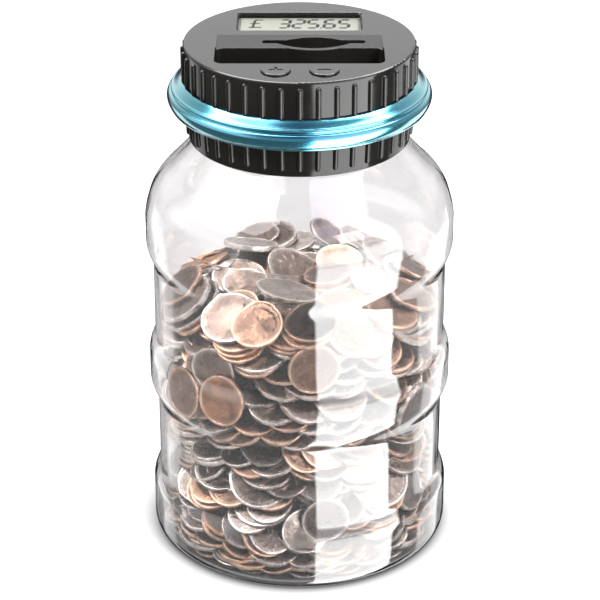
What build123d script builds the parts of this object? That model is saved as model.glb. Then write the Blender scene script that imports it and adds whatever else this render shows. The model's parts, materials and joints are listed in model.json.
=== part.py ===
from build123d import *
import math
import os

# Digital coin counting jar: a clear blow-moulded PET jar with a screw-on lid.
# The lid is two black shells with a coloured ring clamped between them. It holds
# an LCD, a coin slot with a sprung sensing lever, two buttons and two AAA cells.
# Frame: origin at the centre of the standing face, +Z up, +Y towards the back of
# the lid (the display side), -Y towards the user. Millimetres.

# ---------------------------------------------------------------- jar sizes
WALL = 1.2
R_BAND = 57.4           # widest band of the jar
R_MID = 57.2
R_BASE = 56.8
R_WAIST_LOW = 54.3
R_WAIST_HIGH = 54.8
R_NECK = 37.5           # outside of the neck, under the thread
R_NECK_IN = 36.1
Z_RIM = 173.6           # top of the jar's mouth
PITCH = 5.0             # neck thread, right hand
THREAD_CREST = 38.9

# ---------------------------------------------------------------- lid sizes
SKIRT_IN = 39.2
SKIRT_CREST = 37.9      # crest of the skirt's inside thread
R_SKIRT = 41.2          # outside of the lower skirt at its top, between its ribs
R_SKIRT_LOW = 40.5      # and at its bottom edge
Z_SKIRT = 162.4         # bottom edge of the lower skirt
Z_FLOOR_LO, Z_FLOOR_HI = 174.6, 176.4
Z_TOP = 198.3           # flat top of the lid
Z_PLATE = 196.3         # underside of the lid's top plate
R_LID = 42.0            # outside of the upper shell, between its ribs
R_LID_IN = 40.2
Z_SHELL = 178.0         # bottom edge of the upper shell
N_RIBS = 40             # grip ribs round each shell
RIB_R = 0.95            # half width of a rib
RING_MAX = 48.2         # outside of the coloured ring
BELOW, ABOVE = 170.0, 200.0     # ends of cuts that run out of the lid's floor or top

SLOT_X0, SLOT_X1 = -13.5, 23.7  # coin slot, end to end
SLOT_Y, SLOT_T = 0.3, 2.6       # coin slot, centre and width
EYE_X, EYE_Y = 5.1, -0.6        # finger relief round the slot, a little nearer the well
EYE_LEN, EYE_HALF = 27.5, 4.5
EYE_R = (EYE_LEN ** 2 / 4 + EYE_HALF ** 2) / (2 * EYE_HALF)
EYE_RIM = 1.6                   # wall round the finger relief
WELL_X, WELL_Y0, WELL_Y1, WELL_Z = 30.2, -22.8, -5.0, 190.0     # finger well
WELL_WALL = 1.5
RAMP_Y, RAMP_DROP = 6.0, 1.0    # back edge of the ramp, fall at the well's back edge
RAMP_END = WELL_Y1 - 5.5

LCD_X, LCD_Y0, LCD_Y1 = 22.4, 11.2, 29.2    # display opening
LCD_FACE = 196.2                # top of the LCD cell
LCD_BACK = LCD_FACE - 1.7
MAIN_PCB_LOW, MAIN_PCB_TOP = 190.0, 191.2
BUTTON_PCB_LOW, BUTTON_PCB_TOP = 188.4, 189.6

BUTTON_MID = 0.2                # centre of the pair of buttons
BUTTON_X, BUTTON_Y, BUTTON_R = 8.5, -30.4, 5.1
PLUS_X, MINUS_X = BUTTON_MID - BUTTON_X, BUTTON_MID + BUTTON_X
BUTTON_LOW = 194.0
BUTTON_FACE = Z_TOP + 0.7

PIVOT_X, PIVOT_Z = 29.0, 186.5  # sensing lever's pivot, axis along Y
LEVER_LEN = 26.4
LEVER_DEG = 191.7               # the lever points to -X and slightly down
LEVER_HALF = 0.9                # half its thickness
PIN_R = 1.0
CHUTE_Y0, CHUTE_Y1 = SLOT_Y - SLOT_T / 2, SLOT_Y + SLOT_T / 2
CHUTE_X0, CHUTE_X1 = -20.0, 31.0
CHUTE_TOP, CHUTE_STEP = 188.3, 183.4    # top, and underside over the outlet end
CHUTE_WALL = 1.5
CHUTE_POST_TOP = 179.0

BAT_R, BAT_Y, BAT_Z = 5.05, (9.65, 19.95), 181.5
BAT_END, BAT_SHOULDER, BAT_TIP = -20.2, 23.1, 24.0      # one cell, along X
DOOR_TOP = 175.9
DOOR_SCREW_Y = 28.6

BOSS_JOINT = 178.4              # where the two shells' case bosses meet
CASE_SCREWS = [(29.5, 12.0), (-29.5, 12.0), (22.0, -19.0), (-22.0, -19.0)]
PCB_SCREWS = [(31.8, 18.4), (-31.8, 18.4), (13.6, 34.0), (-13.6, 34.0)]
BUTTON_PCB_SCREWS = [(-19.0, -29.0), (19.0, -29.0)]
CHUTE_SCREWS = [(-19.0, -5.5), (15.0, -5.5)]


# ---------------------------------------------------------------- solid helpers
def cyl(r, z0, z1, x=0.0, y=0.0):
    return Pos(x, y, (z0 + z1) / 2) * Cylinder(r, z1 - z0)


def box(x0, x1, y0, y1, z0, z1):
    return Pos((x0 + x1) / 2, (y0 + y1) / 2, (z0 + z1) / 2) * Box(x1 - x0, y1 - y0, z1 - z0)


def cyl_y(r, y0, y1, x, z):
    return Pos(x, (y0 + y1) / 2, z) * Rot(90, 0, 0) * Cylinder(r, y1 - y0)


def cyl_x(r, x0, x1, y, z):
    return Pos((x0 + x1) / 2, y, z) * Rot(0, 90, 0) * Cylinder(r, x1 - x0)


def rounded(x0, x1, y0, y1, r, z0, z1):
    """A box with its upright edges rounded."""
    outline = Pos((x0 + x1) / 2, (y0 + y1) / 2) * RectangleRounded(x1 - x0, y1 - y0, r)
    return Pos(0, 0, z0) * extrude(outline, z1 - z0)


def boss(x, y, r, z0, z1, hole_r, hole_z0, hole_z1):
    return cyl(r, z0, z1, x, y) - cyl(hole_r, hole_z0, hole_z1, x, y)


def drill(shape, places, r, z0=BELOW, z1=ABOVE):
    for x, y in places:
        shape = shape - cyl(r, z0, z1, x, y)
    return shape


def coil(pitch, height, radius, wire_r):
    """A round-wire spring along +Z from the origin."""
    path = Helix(pitch=pitch, height=height, radius=radius, center=(0, 0, 0))
    return sweep(Plane(origin=path @ 0, z_dir=path % 0) * Circle(wire_r), path=path, is_frenet=True)


def thread(r0, r1, half0, half1, z, turns):
    """A trapezoid thread from radius r0 (half width half0) to r1 (half width half1)."""
    path = Helix(pitch=PITCH, height=PITCH * turns, radius=(r0 + r1) / 2, center=(0, 0, z))
    plane = Plane(origin=(0, 0, z), x_dir=(1, 0, 0), z_dir=(0, -1, 0))
    profile = Polygon((r0, -half0), (r1, -half1), (r1, half1), (r0, half0), align=None)
    return sweep(plane * profile, path=path, is_frenet=True)


def ribs(r0, z0, r1, z1, dome_low):
    """Round ribs from (r0, z0) up to (r1, z1), domed on top and, if asked, below."""
    out = []
    length = math.hypot(r1 - r0, z1 - z0)
    for i in range(N_RIBS):
        angle = math.radians(360 / N_RIBS * i)
        cos, sin = math.cos(angle), math.sin(angle)
        plane = Plane(origin=(r0 * cos, r0 * sin, z0), x_dir=(-sin, cos, 0),
                      z_dir=((r1 - r0) * cos, (r1 - r0) * sin, z1 - z0))
        rib = plane * (Pos(0, 0, length / 2) * Cylinder(RIB_R, length))
        if dome_low:
            rib = rib + Pos(r0 * cos, r0 * sin, z0) * Sphere(RIB_R)
        rib = rib + Pos(r1 * cos, r1 * sin, z1) * Sphere(RIB_R)
        out.append(rib)
    return out


def save(name, shape):
    """Writes one piece, given as a shape or a list of shapes."""
    parts = shape if isinstance(shape, list) else [shape]
    solids = [solid for part in parts for solid in part.solids()]
    out = solids[0] if len(solids) == 1 else Compound(children=solids)
    export_step(out, f"parts/{name}.step")


# ---------------------------------------------------------------- lathe helpers
# Outlines are drawn as (r, z) in the XZ plane.
UP, DOWN = (0, 1), (0, -1)


def to_xz(point):
    return (point[0], 0, point[1])


def lines(*points):
    return [Line(to_xz(a), to_xz(b)) for a, b in zip(points, points[1:])]


def curve(points, start_dir, end_dir):
    return Spline(*map(to_xz, points), tangents=[to_xz(start_dir), to_xz(end_dir)])


def arc(start, middle, end):
    return ThreePointArc(to_xz(start), to_xz(middle), to_xz(end))


def lathe(edges):
    """Turns a closed outline of edges about Z."""
    return revolve(make_face(Wire(edges)), Axis.Z, 360)


os.makedirs("parts", exist_ok=True)

# ---------------------------------------------------------------- jar
# (r, z) up the outside of the shoulder
SHOULDER = [
    (57.4, 131.5), (56.9, 134.6), (56.1, 137.6), (55.0, 141.0), (53.2, 144.4), (50.9, 147.3),
    (48.4, 149.9), (44.7, 153.9), (41.3, 157.7), (39.0, 160.6), (37.9, 162.4), (37.5, 164.2),
]
# (r, z) up the outside of the side: straight and curved stretches by turns
SIDE = [
    (R_BASE, 5.0), (R_BASE, 19.5),
    (R_WAIST_LOW, 27.5), (R_WAIST_LOW, 56.5),
    (R_MID, 65.5), (R_MID, 75.0),
    (R_WAIST_HIGH, 84.5), (R_WAIST_HIGH, 112.0),
    (R_BAND, 121.5), (R_BAND, 131.5),
]


def side_edges(points, direction):
    edges = []
    for i, (a, b) in enumerate(zip(points, points[1:])):
        edges += [curve([a, b], direction, direction)] if i % 2 else lines(a, b)
    return edges


def inset(points, thickness):
    """The points between the two ends, moved square to the outline by the thickness."""
    out = []
    for before, (r, z), after in zip(points, points[1:], points[2:]):
        dr, dz = after[0] - before[0], after[1] - before[1]
        step = math.hypot(dr, dz)
        out.append((r - thickness * dz / step, z + thickness * dr / step))
    return out


def jar_body():
    side_top_in = (R_BAND - WALL, SIDE[-1][1])
    shoulder_in = [side_top_in] + inset(SHOULDER, WALL) + [(R_NECK_IN, 165.0)]
    side_in = [(R_BASE - WALL, 5.4)] + [(r - WALL, z) for r, z in SIDE[1:]]
    outside = (
        lines((0, 4.4), (30, 4.0))
        + [curve([(30, 4.0), (42.5, 2.6), (47.0, 0.0)], (1, -0.03), (0.8, -1))]
        + lines((47.0, 0.0), (52.4, 0.0))
        + [curve([(52.4, 0.0), SIDE[0]], (1, 0), UP)]
        + side_edges(SIDE, UP)
        + [curve(SHOULDER, UP, UP)]
        + lines(SHOULDER[-1], (R_NECK, Z_RIM - 0.5))
    )
    rim = (
        [arc((R_NECK, Z_RIM - 0.5), (R_NECK - 0.15, Z_RIM - 0.15), (R_NECK - 0.5, Z_RIM))]
        + lines((R_NECK - 0.5, Z_RIM), (R_NECK_IN + 0.5, Z_RIM))
        + [arc((R_NECK_IN + 0.5, Z_RIM), (R_NECK_IN + 0.15, Z_RIM - 0.15),
               (R_NECK_IN, Z_RIM - 0.5))]
    )
    inside = (
        lines((R_NECK_IN, Z_RIM - 0.5), shoulder_in[-1])
        + [curve(shoulder_in[::-1], DOWN, DOWN)]
        + side_edges(side_in[::-1], DOWN)
        + [curve([side_in[0], (51.6, 1.5)], DOWN, (-1, 0)),
           curve([(51.6, 1.5), (43.0, 4.2), (30, 5.6)], (-1, 0.1), (-1, 0.03))]
        + lines((30, 5.6), (0, 6.0), (0, 4.4))
    )
    jar = lathe(outside + rim + inside)
    return jar + thread(R_NECK - 0.3, THREAD_CREST, 1.12, 0.55, 166.0, 1.15)


save("jar_body", jar_body())
save("seal_liner", cyl(38.9, Z_RIM, Z_FLOOR_LO) - cyl(36.4, Z_RIM - 1, Z_FLOOR_LO + 1))


# ---------------------------------------------------------------- upper shell
def eye(grow, z0, z1):
    """The lens-shaped outline round the middle of the slot, grown all round."""
    offset = EYE_R - EYE_HALF
    front_circle = Pos(EYE_X, EYE_Y - offset) * Circle(EYE_R + grow)
    back_circle = Pos(EYE_X, EYE_Y + offset) * Circle(EYE_R + grow)
    return Pos(0, 0, z0) * extrude(front_circle & back_circle, z1 - z0)


def shell_blank():
    """The ribbed cap, with the slot's thick bed and the finger well's walls."""
    shell = lathe(
        lines((0, Z_TOP), (R_LID - 0.8, Z_TOP))
        + [arc((R_LID - 0.8, Z_TOP), (R_LID - 0.23, Z_TOP - 0.23), (R_LID, Z_TOP - 0.8))]
        + lines((R_LID, Z_TOP - 0.8), (R_LID, Z_SHELL), (R_LID_IN, Z_SHELL),
                (R_LID_IN, Z_PLATE - 0.8))
        + [arc((R_LID_IN, Z_PLATE - 0.8), (R_LID_IN - 0.23, Z_PLATE - 0.23),
               (R_LID_IN - 0.8, Z_PLATE))]
        + lines((R_LID_IN - 0.8, Z_PLATE), (0, Z_PLATE), (0, Z_TOP))
    )
    shell = shell + ribs(R_LID + 0.1, 185.05, R_LID + 0.1, 195.5, False)
    wall_z0, wall_z1 = WELL_Z - WELL_WALL, Z_PLATE + 0.5
    shell = shell + box(-31.5, 31.5, -8.0, 8.0, 193.6, wall_z1)
    shell = shell + rounded(-WELL_X - WELL_WALL, WELL_X + WELL_WALL, WELL_Y0 - WELL_WALL, -3.2,
                            4.0, wall_z0, wall_z1)
    return shell + (eye(EYE_RIM, wall_z0, wall_z1) & box(-12, 24, -12, 0, 180, 200))


def ramp_cut():
    """Falls from the lid's top at RAMP_Y to RAMP_DROP below it at the well."""
    end_z = Z_TOP - RAMP_DROP * (RAMP_Y - RAMP_END) / (RAMP_Y - WELL_Y1)
    profile = Polygon((RAMP_Y, Z_TOP), (RAMP_END, end_z),
                      (RAMP_END, Z_TOP + 2), (RAMP_Y, Z_TOP + 2), align=None)
    half = WELL_X - 0.4
    return extrude(Plane.YZ.offset(-half) * profile, 2 * half, dir=(1, 0, 0))


def cut_openings(shell):
    well = rounded(-WELL_X, WELL_X, WELL_Y0, WELL_Y1, 3.0, WELL_Z, Z_TOP + 1)
    well = well - eye(EYE_RIM, WELL_Z - 1, Z_TOP + 2)
    shell = shell - well
    shell = shell - ramp_cut()
    shell = shell - eye(0.0, 180, Z_TOP + 1)
    shell = shell - rounded(SLOT_X0, SLOT_X1, CHUTE_Y0, CHUTE_Y1, 1.0, 180, Z_TOP + 1)
    # display opening with a bevelled rim
    shell = shell - rounded(-LCD_X, LCD_X, LCD_Y0, LCD_Y1, 0.8, Z_PLATE - 1, Z_TOP + 1)
    shell = shell - Pos(0, (LCD_Y0 + LCD_Y1) / 2, Z_TOP - 0.7) * extrude(
        RectangleRounded(2 * LCD_X, LCD_Y1 - LCD_Y0, 0.8), 0.701, taper=-45)
    buttons = [(PLUS_X, BUTTON_Y), (MINUS_X, BUTTON_Y)]
    return drill(shell, buttons, BUTTON_R + 0.2, Z_PLATE - 1, Z_TOP + 1)


def add_bosses(shell):
    for x, y in CASE_SCREWS:
        top = Z_PLATE + 0.3 if y > 0 else WELL_Z - 1.0
        shell = shell + boss(x, y, 2.8, BOSS_JOINT, top, 1.45, Z_SHELL, top - 2.0)
    for places, z0, hole_z0 in ((PCB_SCREWS, MAIN_PCB_TOP, 191.0),
                                (BUTTON_PCB_SCREWS, BUTTON_PCB_TOP, 189.5)):
        for x, y in places:
            shell = shell + boss(x, y, 2.2, z0, Z_PLATE + 0.3, 1.05, hole_z0, Z_PLATE - 0.8)
    return shell


save("top_shell", add_bosses(cut_openings(shell_blank())))


# ---------------------------------------------------------------- lower shell
def skirt_and_floor():
    base = lathe(
        lines((0, Z_FLOOR_LO), (SKIRT_IN, Z_FLOOR_LO), (SKIRT_IN, Z_SKIRT),
              (R_SKIRT_LOW - 0.4, Z_SKIRT))
        + [arc((R_SKIRT_LOW - 0.4, Z_SKIRT), (R_SKIRT_LOW - 0.12, Z_SKIRT + 0.12),
               (R_SKIRT_LOW, Z_SKIRT + 0.4))]
        + lines((R_SKIRT_LOW, Z_SKIRT + 0.4), (R_SKIRT, Z_FLOOR_HI), (0, Z_FLOOR_HI),
                (0, Z_FLOOR_LO))
    )
    base = base + ribs(R_SKIRT_LOW + 0.15, 165.4, R_SKIRT + 0.02, 175.0, True)
    return base + thread(SKIRT_IN + 0.3, SKIRT_CREST, 1.1, 0.55, 164.3, 1.0)


def base_shell():
    base = skirt_and_floor()
    root = Z_FLOOR_LO + 0.5
    # battery box on the floor, open below, with a stepped seat for the door
    base = base + rounded(-26.0, 26.0, 3.3, 26.4, 3.0, root, 188.0)
    base = base - box(-24.6, 24.6, 4.4, 25.2, 176.0, 186.8)
    base = base - rounded(-25.0, 25.0, 4.0, 26.0, 5.2, BELOW, 176.0)
    base = base - rounded(-24.2, 24.2, 4.6, 25.0, 4.2, BELOW, 177)
    # door tongue recess and its screw boss
    base = base + cyl(3.0, root, 183.0, 0, DOOR_SCREW_Y)
    base = base - rounded(-4.2, 4.2, 24.0, 32.4, 2.0, BELOW, 176.0)
    base = base - cyl(1.45, BELOW, 182.0, 0, DOOR_SCREW_Y)
    # coin outlet
    base = base - rounded(SLOT_X0 - 0.4, 28.8, SLOT_Y - 1.7, SLOT_Y + 1.7, 1.2, BELOW, 180)
    for x, y in CASE_SCREWS:
        base = base + cyl(3.8, Z_FLOOR_LO + 0.3, BOSS_JOINT, x, y)
        base = base - cyl(2.8, BELOW, 176.8, x, y)
        base = base - cyl(1.6, BELOW, 179, x, y)
    for x, y in CHUTE_SCREWS:
        base = base + boss(x, y, 2.2, root, CHUTE_POST_TOP, 0.95, Z_FLOOR_HI, 180)
    return base


save("base_shell", base_shell())

# ---------------------------------------------------------------- coloured ring
R_RING_IN = R_LID + 0.1
save("accent_ring", lathe(
    lines((R_RING_IN, Z_SHELL), (R_RING_IN, 184.6))
    + [arc((R_RING_IN, 184.6), (R_LID + 0.42, 184.95), (R_LID + 0.9, 184.8))]
    + lines((R_LID + 0.9, 184.8), (46.3, 182.3))
    + [arc((46.3, 182.3), (46.75, 181.9), (46.7, 181.35)),
       arc((46.7, 181.35), (46.55, 180.9), (46.95, 180.75)),
       arc((46.95, 180.75), (47.95, 180.0), (RING_MAX, 178.8))]
    + lines((RING_MAX, 178.8), (RING_MAX - 0.15, 177.6))
    + [arc((RING_MAX - 0.15, 177.6), (47.75, 176.0), (46.9, 175.1)),
       arc((46.9, 175.1), (46.5, 174.85), (46.1, 174.8))]
    + lines((46.1, 174.8), (42.3, 174.8), (42.3, Z_FLOOR_HI), (40.6, Z_FLOOR_HI),
            (40.6, Z_SHELL), (R_RING_IN, Z_SHELL))
))

# ---------------------------------------------------------------- display
save("lcd_window", rounded(-LCD_X + 0.1, LCD_X - 0.1, LCD_Y0 + 0.1, LCD_Y1 - 0.1, 0.7,
                           LCD_FACE, LCD_FACE + 0.7))
save("lcd_panel", rounded(-23.2, 23.2, 10.4, 29.6, 0.4, LCD_BACK, LCD_FACE))
save("lcd_frame", rounded(-25.0, 25.0, 9.2, 31.4, 1.0, MAIN_PCB_TOP, LCD_FACE)
     - box(-23.4, 23.4, 10.2, 29.8, 190, 198))
save("zebra_strips", [box(-21, 21, y, y + 2.0, MAIN_PCB_TOP, LCD_BACK) for y in (11.0, 27.0)])

# ---------------------------------------------------------------- boards
main_pcb = cyl(38.6, MAIN_PCB_LOW, MAIN_PCB_TOP) & box(-40, 40, 9.0, 40, 180, 200)
main_pcb = drill(main_pcb, CASE_SCREWS[:2], 3.2)    # clears the two back case bosses
save("main_pcb", drill(main_pcb, PCB_SCREWS, 1.1))

# pieces under the main board
save("chip_blob", Pos(3, 31.0, MAIN_PCB_LOW) * Sphere(4.4)
     & box(-5, 10, 26.4, 36, 188.5, MAIN_PCB_LOW))
SMALL_PARTS = [(-20.0, 27.8), (-20.0, 30.2), (13.0, 27.8), (17.0, 27.8)]    # low x, y corners
save("pcb_components",
     [rounded(-10.4, -8.2, 27.6, 33.6, 0.9, 188.4, MAIN_PCB_LOW)]
     + [box(x, x + 2.0, y, y + 1.2, 189.2, MAIN_PCB_LOW) for x, y in SMALL_PARTS]
     + [box(-17.2, -14.6, 27.4, 31.4, 188.9, MAIN_PCB_LOW)])

button_pcb = cyl(38.0, BUTTON_PCB_LOW, BUTTON_PCB_TOP) & box(-22, 22, -36.5, -24.6, 180, 200)
save("button_pcb", drill(button_pcb, BUTTON_PCB_SCREWS, 1.1))
save("sensor_pcb", box(31.3, 38.4, 2.6, 3.6, Z_FLOOR_HI, 193.4))


# ---------------------------------------------------------------- buttons
def switch_body(x):
    body = box(x - 3, x + 3, BUTTON_Y - 3, BUTTON_Y + 3, BUTTON_PCB_TOP, 193.0)
    return body - cyl(1.75, 191.2, 194, x, BUTTON_Y)


def button(x, bars):
    """A flanged button, its face engraved with bars of (x size, y size)."""
    body = cyl(BUTTON_R, BUTTON_LOW, BUTTON_FACE, x, BUTTON_Y)
    body = fillet(body.edges().sort_by(Axis.Z)[-1], 0.45)
    body = body + cyl(BUTTON_R + 1.0, 195.0, 196.2, x, BUTTON_Y)
    for width, depth in bars:
        body = body - box(x - width / 2, x + width / 2, BUTTON_Y - depth / 2,
                          BUTTON_Y + depth / 2, BUTTON_FACE - 0.35, ABOVE)
    return body


BAR_LEN, BAR_WIDTH = 4.8, 0.95
save("switch_bodies", [switch_body(x) for x in (PLUS_X, MINUS_X)])
save("plus_button", button(PLUS_X, [(BAR_LEN, BAR_WIDTH), (BAR_WIDTH, BAR_LEN)]))
save("minus_button", button(MINUS_X, [(BAR_LEN, BAR_WIDTH)]))
for name, x in (("plus", PLUS_X), ("minus", MINUS_X)):
    save(f"{name}_plunger", cyl(1.7, 192.2, BUTTON_LOW, x, BUTTON_Y))


# ---------------------------------------------------------------- coin chute
def chute_rear():
    back = CHUTE_Y1 + CHUTE_WALL
    rear = box(CHUTE_X0, CHUTE_X1, CHUTE_Y1, back, Z_FLOOR_HI, CHUTE_TOP)
    rear = rear - box(24.5, 33, CHUTE_Y1 - 1, CHUTE_Y1 + 3, 174, CHUTE_STEP)
    return rear - cyl_y(PIN_R + 0.03, 0, 5, PIVOT_X, PIVOT_Z)


def chute_front():
    face = CHUTE_Y0 - CHUTE_WALL
    front = box(CHUTE_X0, 24.6, face, CHUTE_Y0, Z_FLOOR_HI, CHUTE_TOP)
    # closed end at -X
    front = front + box(CHUTE_X0, SLOT_X0, face, CHUTE_Y1, Z_FLOOR_HI, CHUTE_TOP)
    # bracket for the front of the lever pin
    front = front + box(23.4, 24.9, -6.2, CHUTE_Y0 - 1.0, CHUTE_STEP, CHUTE_TOP)
    front = front + box(23.4, CHUTE_X1, -6.2, -4.8, CHUTE_STEP, CHUTE_TOP)
    # screw lugs
    for x, y in CHUTE_SCREWS:
        front = front + (cyl(2.4, CHUTE_POST_TOP, 181.0, x, y)
                         + box(x - 2.4, x + 2.4, y, CHUTE_Y0, CHUTE_POST_TOP, 181.0))
        front = front - cyl(1.0, 178, 182, x, y)
    return front - cyl_y(PIN_R + 0.03, -8, -3, PIVOT_X, PIVOT_Z)


save("chute_rear", chute_rear())
save("chute_front", chute_front())
save("chute_screws", [cyl(1.8, 181.0, 182.2, x, y) + cyl(0.9, 177.0, 181.0, x, y)
                      for x, y in CHUTE_SCREWS])

# ---------------------------------------------------------------- sensing lever
LEVER_COS = math.cos(math.radians(LEVER_DEG))
LEVER_SIN = math.sin(math.radians(LEVER_DEG))
LEVER_Y0, LEVER_Y1 = SLOT_Y - LEVER_HALF, SLOT_Y + LEVER_HALF


def on_lever(distance):
    """The (x, z) place at a distance from the pivot towards the tip."""
    return PIVOT_X + distance * LEVER_COS, PIVOT_Z + distance * LEVER_SIN


def sensor_lever():
    nose = LEVER_LEN - 3    # centre of the rounded tip
    plane = Plane(origin=(PIVOT_X, LEVER_Y1, PIVOT_Z),
                  x_dir=(LEVER_COS, 0, LEVER_SIN), z_dir=(0, -1, 0))
    blade = plane * Polygon((-8.2, -1.3), (0, -2.4), (nose, -1.5),
                            (nose, 1.5), (0, 2.4), (-8.2, 1.3), align=None)
    lever = extrude(blade, 2 * LEVER_HALF)
    lever = lever + cyl_y(3.0, LEVER_Y0, LEVER_Y1, PIVOT_X, PIVOT_Z)
    lever = lever + cyl_y(1.5, LEVER_Y0, LEVER_Y1, *on_lever(nose))
    return lever - cyl_y(PIN_R + 0.05, -10, 10, PIVOT_X, PIVOT_Z)


def wiper():
    """A copper strip on the back of the lever's tail, facing the sensor board."""
    x, z = on_lever(-6.6)
    strip_y = LEVER_Y1 + 0.3
    return Pos(x, 0, z) * Rot(0, 180 - LEVER_DEG, 0) * (
        box(-1.4, 1.4, LEVER_Y1, strip_y, -1.0, 1.0)
        + box(0.6, 1.4, strip_y, SLOT_Y + 2.28, -0.8, 0.8))


save("sensor_lever", sensor_lever())
save("lever_pin", cyl_y(PIN_R, -6.8, CHUTE_Y1 + CHUTE_WALL, PIVOT_X, PIVOT_Z)
     + cyl_y(1.7, -7.6, -6.8, PIVOT_X, PIVOT_Z))
save("wiper", wiper())
# torsion spring round the pin, in front of the lever
save("lever_spring", Pos(PIVOT_X, SLOT_Y - 1.2, PIVOT_Z) * Rot(90, 0, 0)
     * coil(0.62, 2.9, 1.75, 0.24))


# ---------------------------------------------------------------- power
def battery(y, sign):
    """One AAA cell along X, its nub towards +X or -X by the sign."""
    body = cyl_x(BAT_R, *sorted((sign * BAT_END, sign * BAT_SHOULDER)), y, BAT_Z)
    body = fillet(body.edges().filter_by(GeomType.CIRCLE), 0.5)
    return body + cyl_x(1.8, *sorted((sign * BAT_SHOULDER, sign * BAT_TIP)), y, BAT_Z)


def battery_door():
    door = rounded(-24.8, 24.8, 4.2, 25.8, 5.0, Z_FLOOR_LO, DOOR_TOP)
    door = door + rounded(-4.0, 4.0, 20.0, 32.2, 1.9, Z_FLOOR_LO, DOOR_TOP)
    door = door - cyl(1.6, BELOW, 180, 0, DOOR_SCREW_Y) - cyl(2.6, BELOW, 175.2, 0, DOOR_SCREW_Y)
    for i in range(4):
        door = door - box(-14, 14, 9.0 + 3 * i, 10.2 + 3 * i, BELOW, 175.0)
    return door


save("battery_a", battery(BAT_Y[0], 1))
save("battery_b", battery(BAT_Y[1], -1))
# contact plates (x, first y, last y): one joins both cells at -X, one each at +X
PLATES = [(24.0, BAT_Y[0], BAT_Y[0]), (-24.4, BAT_Y[0], BAT_Y[1]), (24.0, BAT_Y[1], BAT_Y[1])]
save("battery_plates", [box(x, x + 0.4, y0 - 4, y1 + 4, 177.2, 185.8) for x, y0, y1 in PLATES])
save("battery_springs", [Pos(x, y, BAT_Z) * Rot(0, 90, 0) * coil(1.0, 3.0, 2.6, 0.3)
                         for x, y in zip((-23.65, 20.6), BAT_Y)])
save("battery_door", battery_door())
save("door_screw", cyl(2.4, 174.65, 175.2, 0, DOOR_SCREW_Y)
     + cyl(1.4, 175.2, 181.5, 0, DOOR_SCREW_Y)
     - box(-1.9, 1.9, 28.3, 28.9, BELOW, 174.95) - box(-0.3, 0.3, 26.7, 30.5, BELOW, 174.95))


# ---------------------------------------------------------------- fasteners
def screw(x, y, r, head_z, head_h, head_r, end_z):
    """A cross-head screw, head down."""
    shank_z = head_z + head_h
    body = cyl(head_r, head_z, shank_z, x, y) + cyl(r, shank_z, end_z, x, y)
    for dx, dy in ((head_r * 0.6, 0.35), (0.35, head_r * 0.6)):
        body = body - box(x - dx, x + dx, y - dy, y + dy, head_z - 1, head_z + head_h * 0.5)
    return body


save("case_screws", [screw(x, y, 1.4, 175.0, 1.8, 2.6, 185.0 if y < 0 else 190.0)
                     for x, y in CASE_SCREWS])
save("board_screws",
     [screw(x, y, 1.0, MAIN_PCB_LOW - 1.2, 1.2, 1.9, 194.6) for x, y in PCB_SCREWS]
     + [screw(x, y, 1.0, BUTTON_PCB_LOW - 1.2, 1.2, 1.9, 194.0) for x, y in BUTTON_PCB_SCREWS])


# ---------------------------------------------------------------- leads
def lead(points, r=0.55):
    path = Spline(*points)
    return sweep(Plane(origin=path @ 0, z_dir=path % 0) * Circle(r), path=path)


# (x, y, z) along the red lead; the black one mirrors it at -X
BATTERY_LEAD = [(26.6, 17.0, 184.0), (28.4, 20.0, 185.2), (27.6, 24.5, 187.2),
                (24.6, 27.5, 188.5), (23.0, 28.4, 189.35)]
# (x, y, z, spread) along the first signal lead; the others shift in x by spread * shift
SIGNAL_LEAD = [(-35.6, 10.4, 189.4, 0.95), (-36.9, 6.0, 186.5, 1), (-37.0, -3.0, 184.0, 1),
               (-34.6, -14.0, 183.6, 1), (-28.5, -22.4, 184.6, 1), (-21.4, -26.0, 187.85, 0.9)]
save("battery_lead_red", lead(BATTERY_LEAD))
save("battery_lead_black", lead([(-x, y, z) for x, y, z in BATTERY_LEAD]))
save("signal_leads", [lead([(x + shift * spread, y, z) for x, y, z, spread in SIGNAL_LEAD], 0.45)
                      for shift in (0.0, 1.1, 2.2)])
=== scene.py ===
"""Looks and studio for a digital coin counting jar.

The jar stands on z = 0 with its axis on Z. The camera looks from the front, -Y, and X runs to
the right. Tree coordinates and all shape tables are in millimetres; objects are in metres.
"""
import json
import math

import bmesh
import bpy
import numpy as np
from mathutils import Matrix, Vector

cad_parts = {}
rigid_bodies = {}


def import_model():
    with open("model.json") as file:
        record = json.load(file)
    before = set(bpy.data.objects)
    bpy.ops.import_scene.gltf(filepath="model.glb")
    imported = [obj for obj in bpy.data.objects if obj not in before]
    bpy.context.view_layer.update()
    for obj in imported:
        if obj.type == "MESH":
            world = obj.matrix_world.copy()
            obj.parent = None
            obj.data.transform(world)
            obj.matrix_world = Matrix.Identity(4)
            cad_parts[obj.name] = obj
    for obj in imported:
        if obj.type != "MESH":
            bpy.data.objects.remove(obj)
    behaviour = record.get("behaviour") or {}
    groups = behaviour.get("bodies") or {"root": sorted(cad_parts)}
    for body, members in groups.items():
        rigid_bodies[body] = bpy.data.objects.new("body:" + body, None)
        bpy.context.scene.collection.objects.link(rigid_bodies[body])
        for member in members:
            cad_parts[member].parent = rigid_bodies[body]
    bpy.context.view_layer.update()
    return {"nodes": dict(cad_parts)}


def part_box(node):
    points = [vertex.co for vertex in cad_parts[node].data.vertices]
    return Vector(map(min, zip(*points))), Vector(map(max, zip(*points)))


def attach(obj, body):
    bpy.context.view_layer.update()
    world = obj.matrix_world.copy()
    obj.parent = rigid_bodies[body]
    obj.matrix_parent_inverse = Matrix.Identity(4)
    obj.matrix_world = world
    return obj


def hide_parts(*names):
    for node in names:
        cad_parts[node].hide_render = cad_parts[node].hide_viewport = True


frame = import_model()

MM = 0.001
scene = bpy.context.scene


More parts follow.
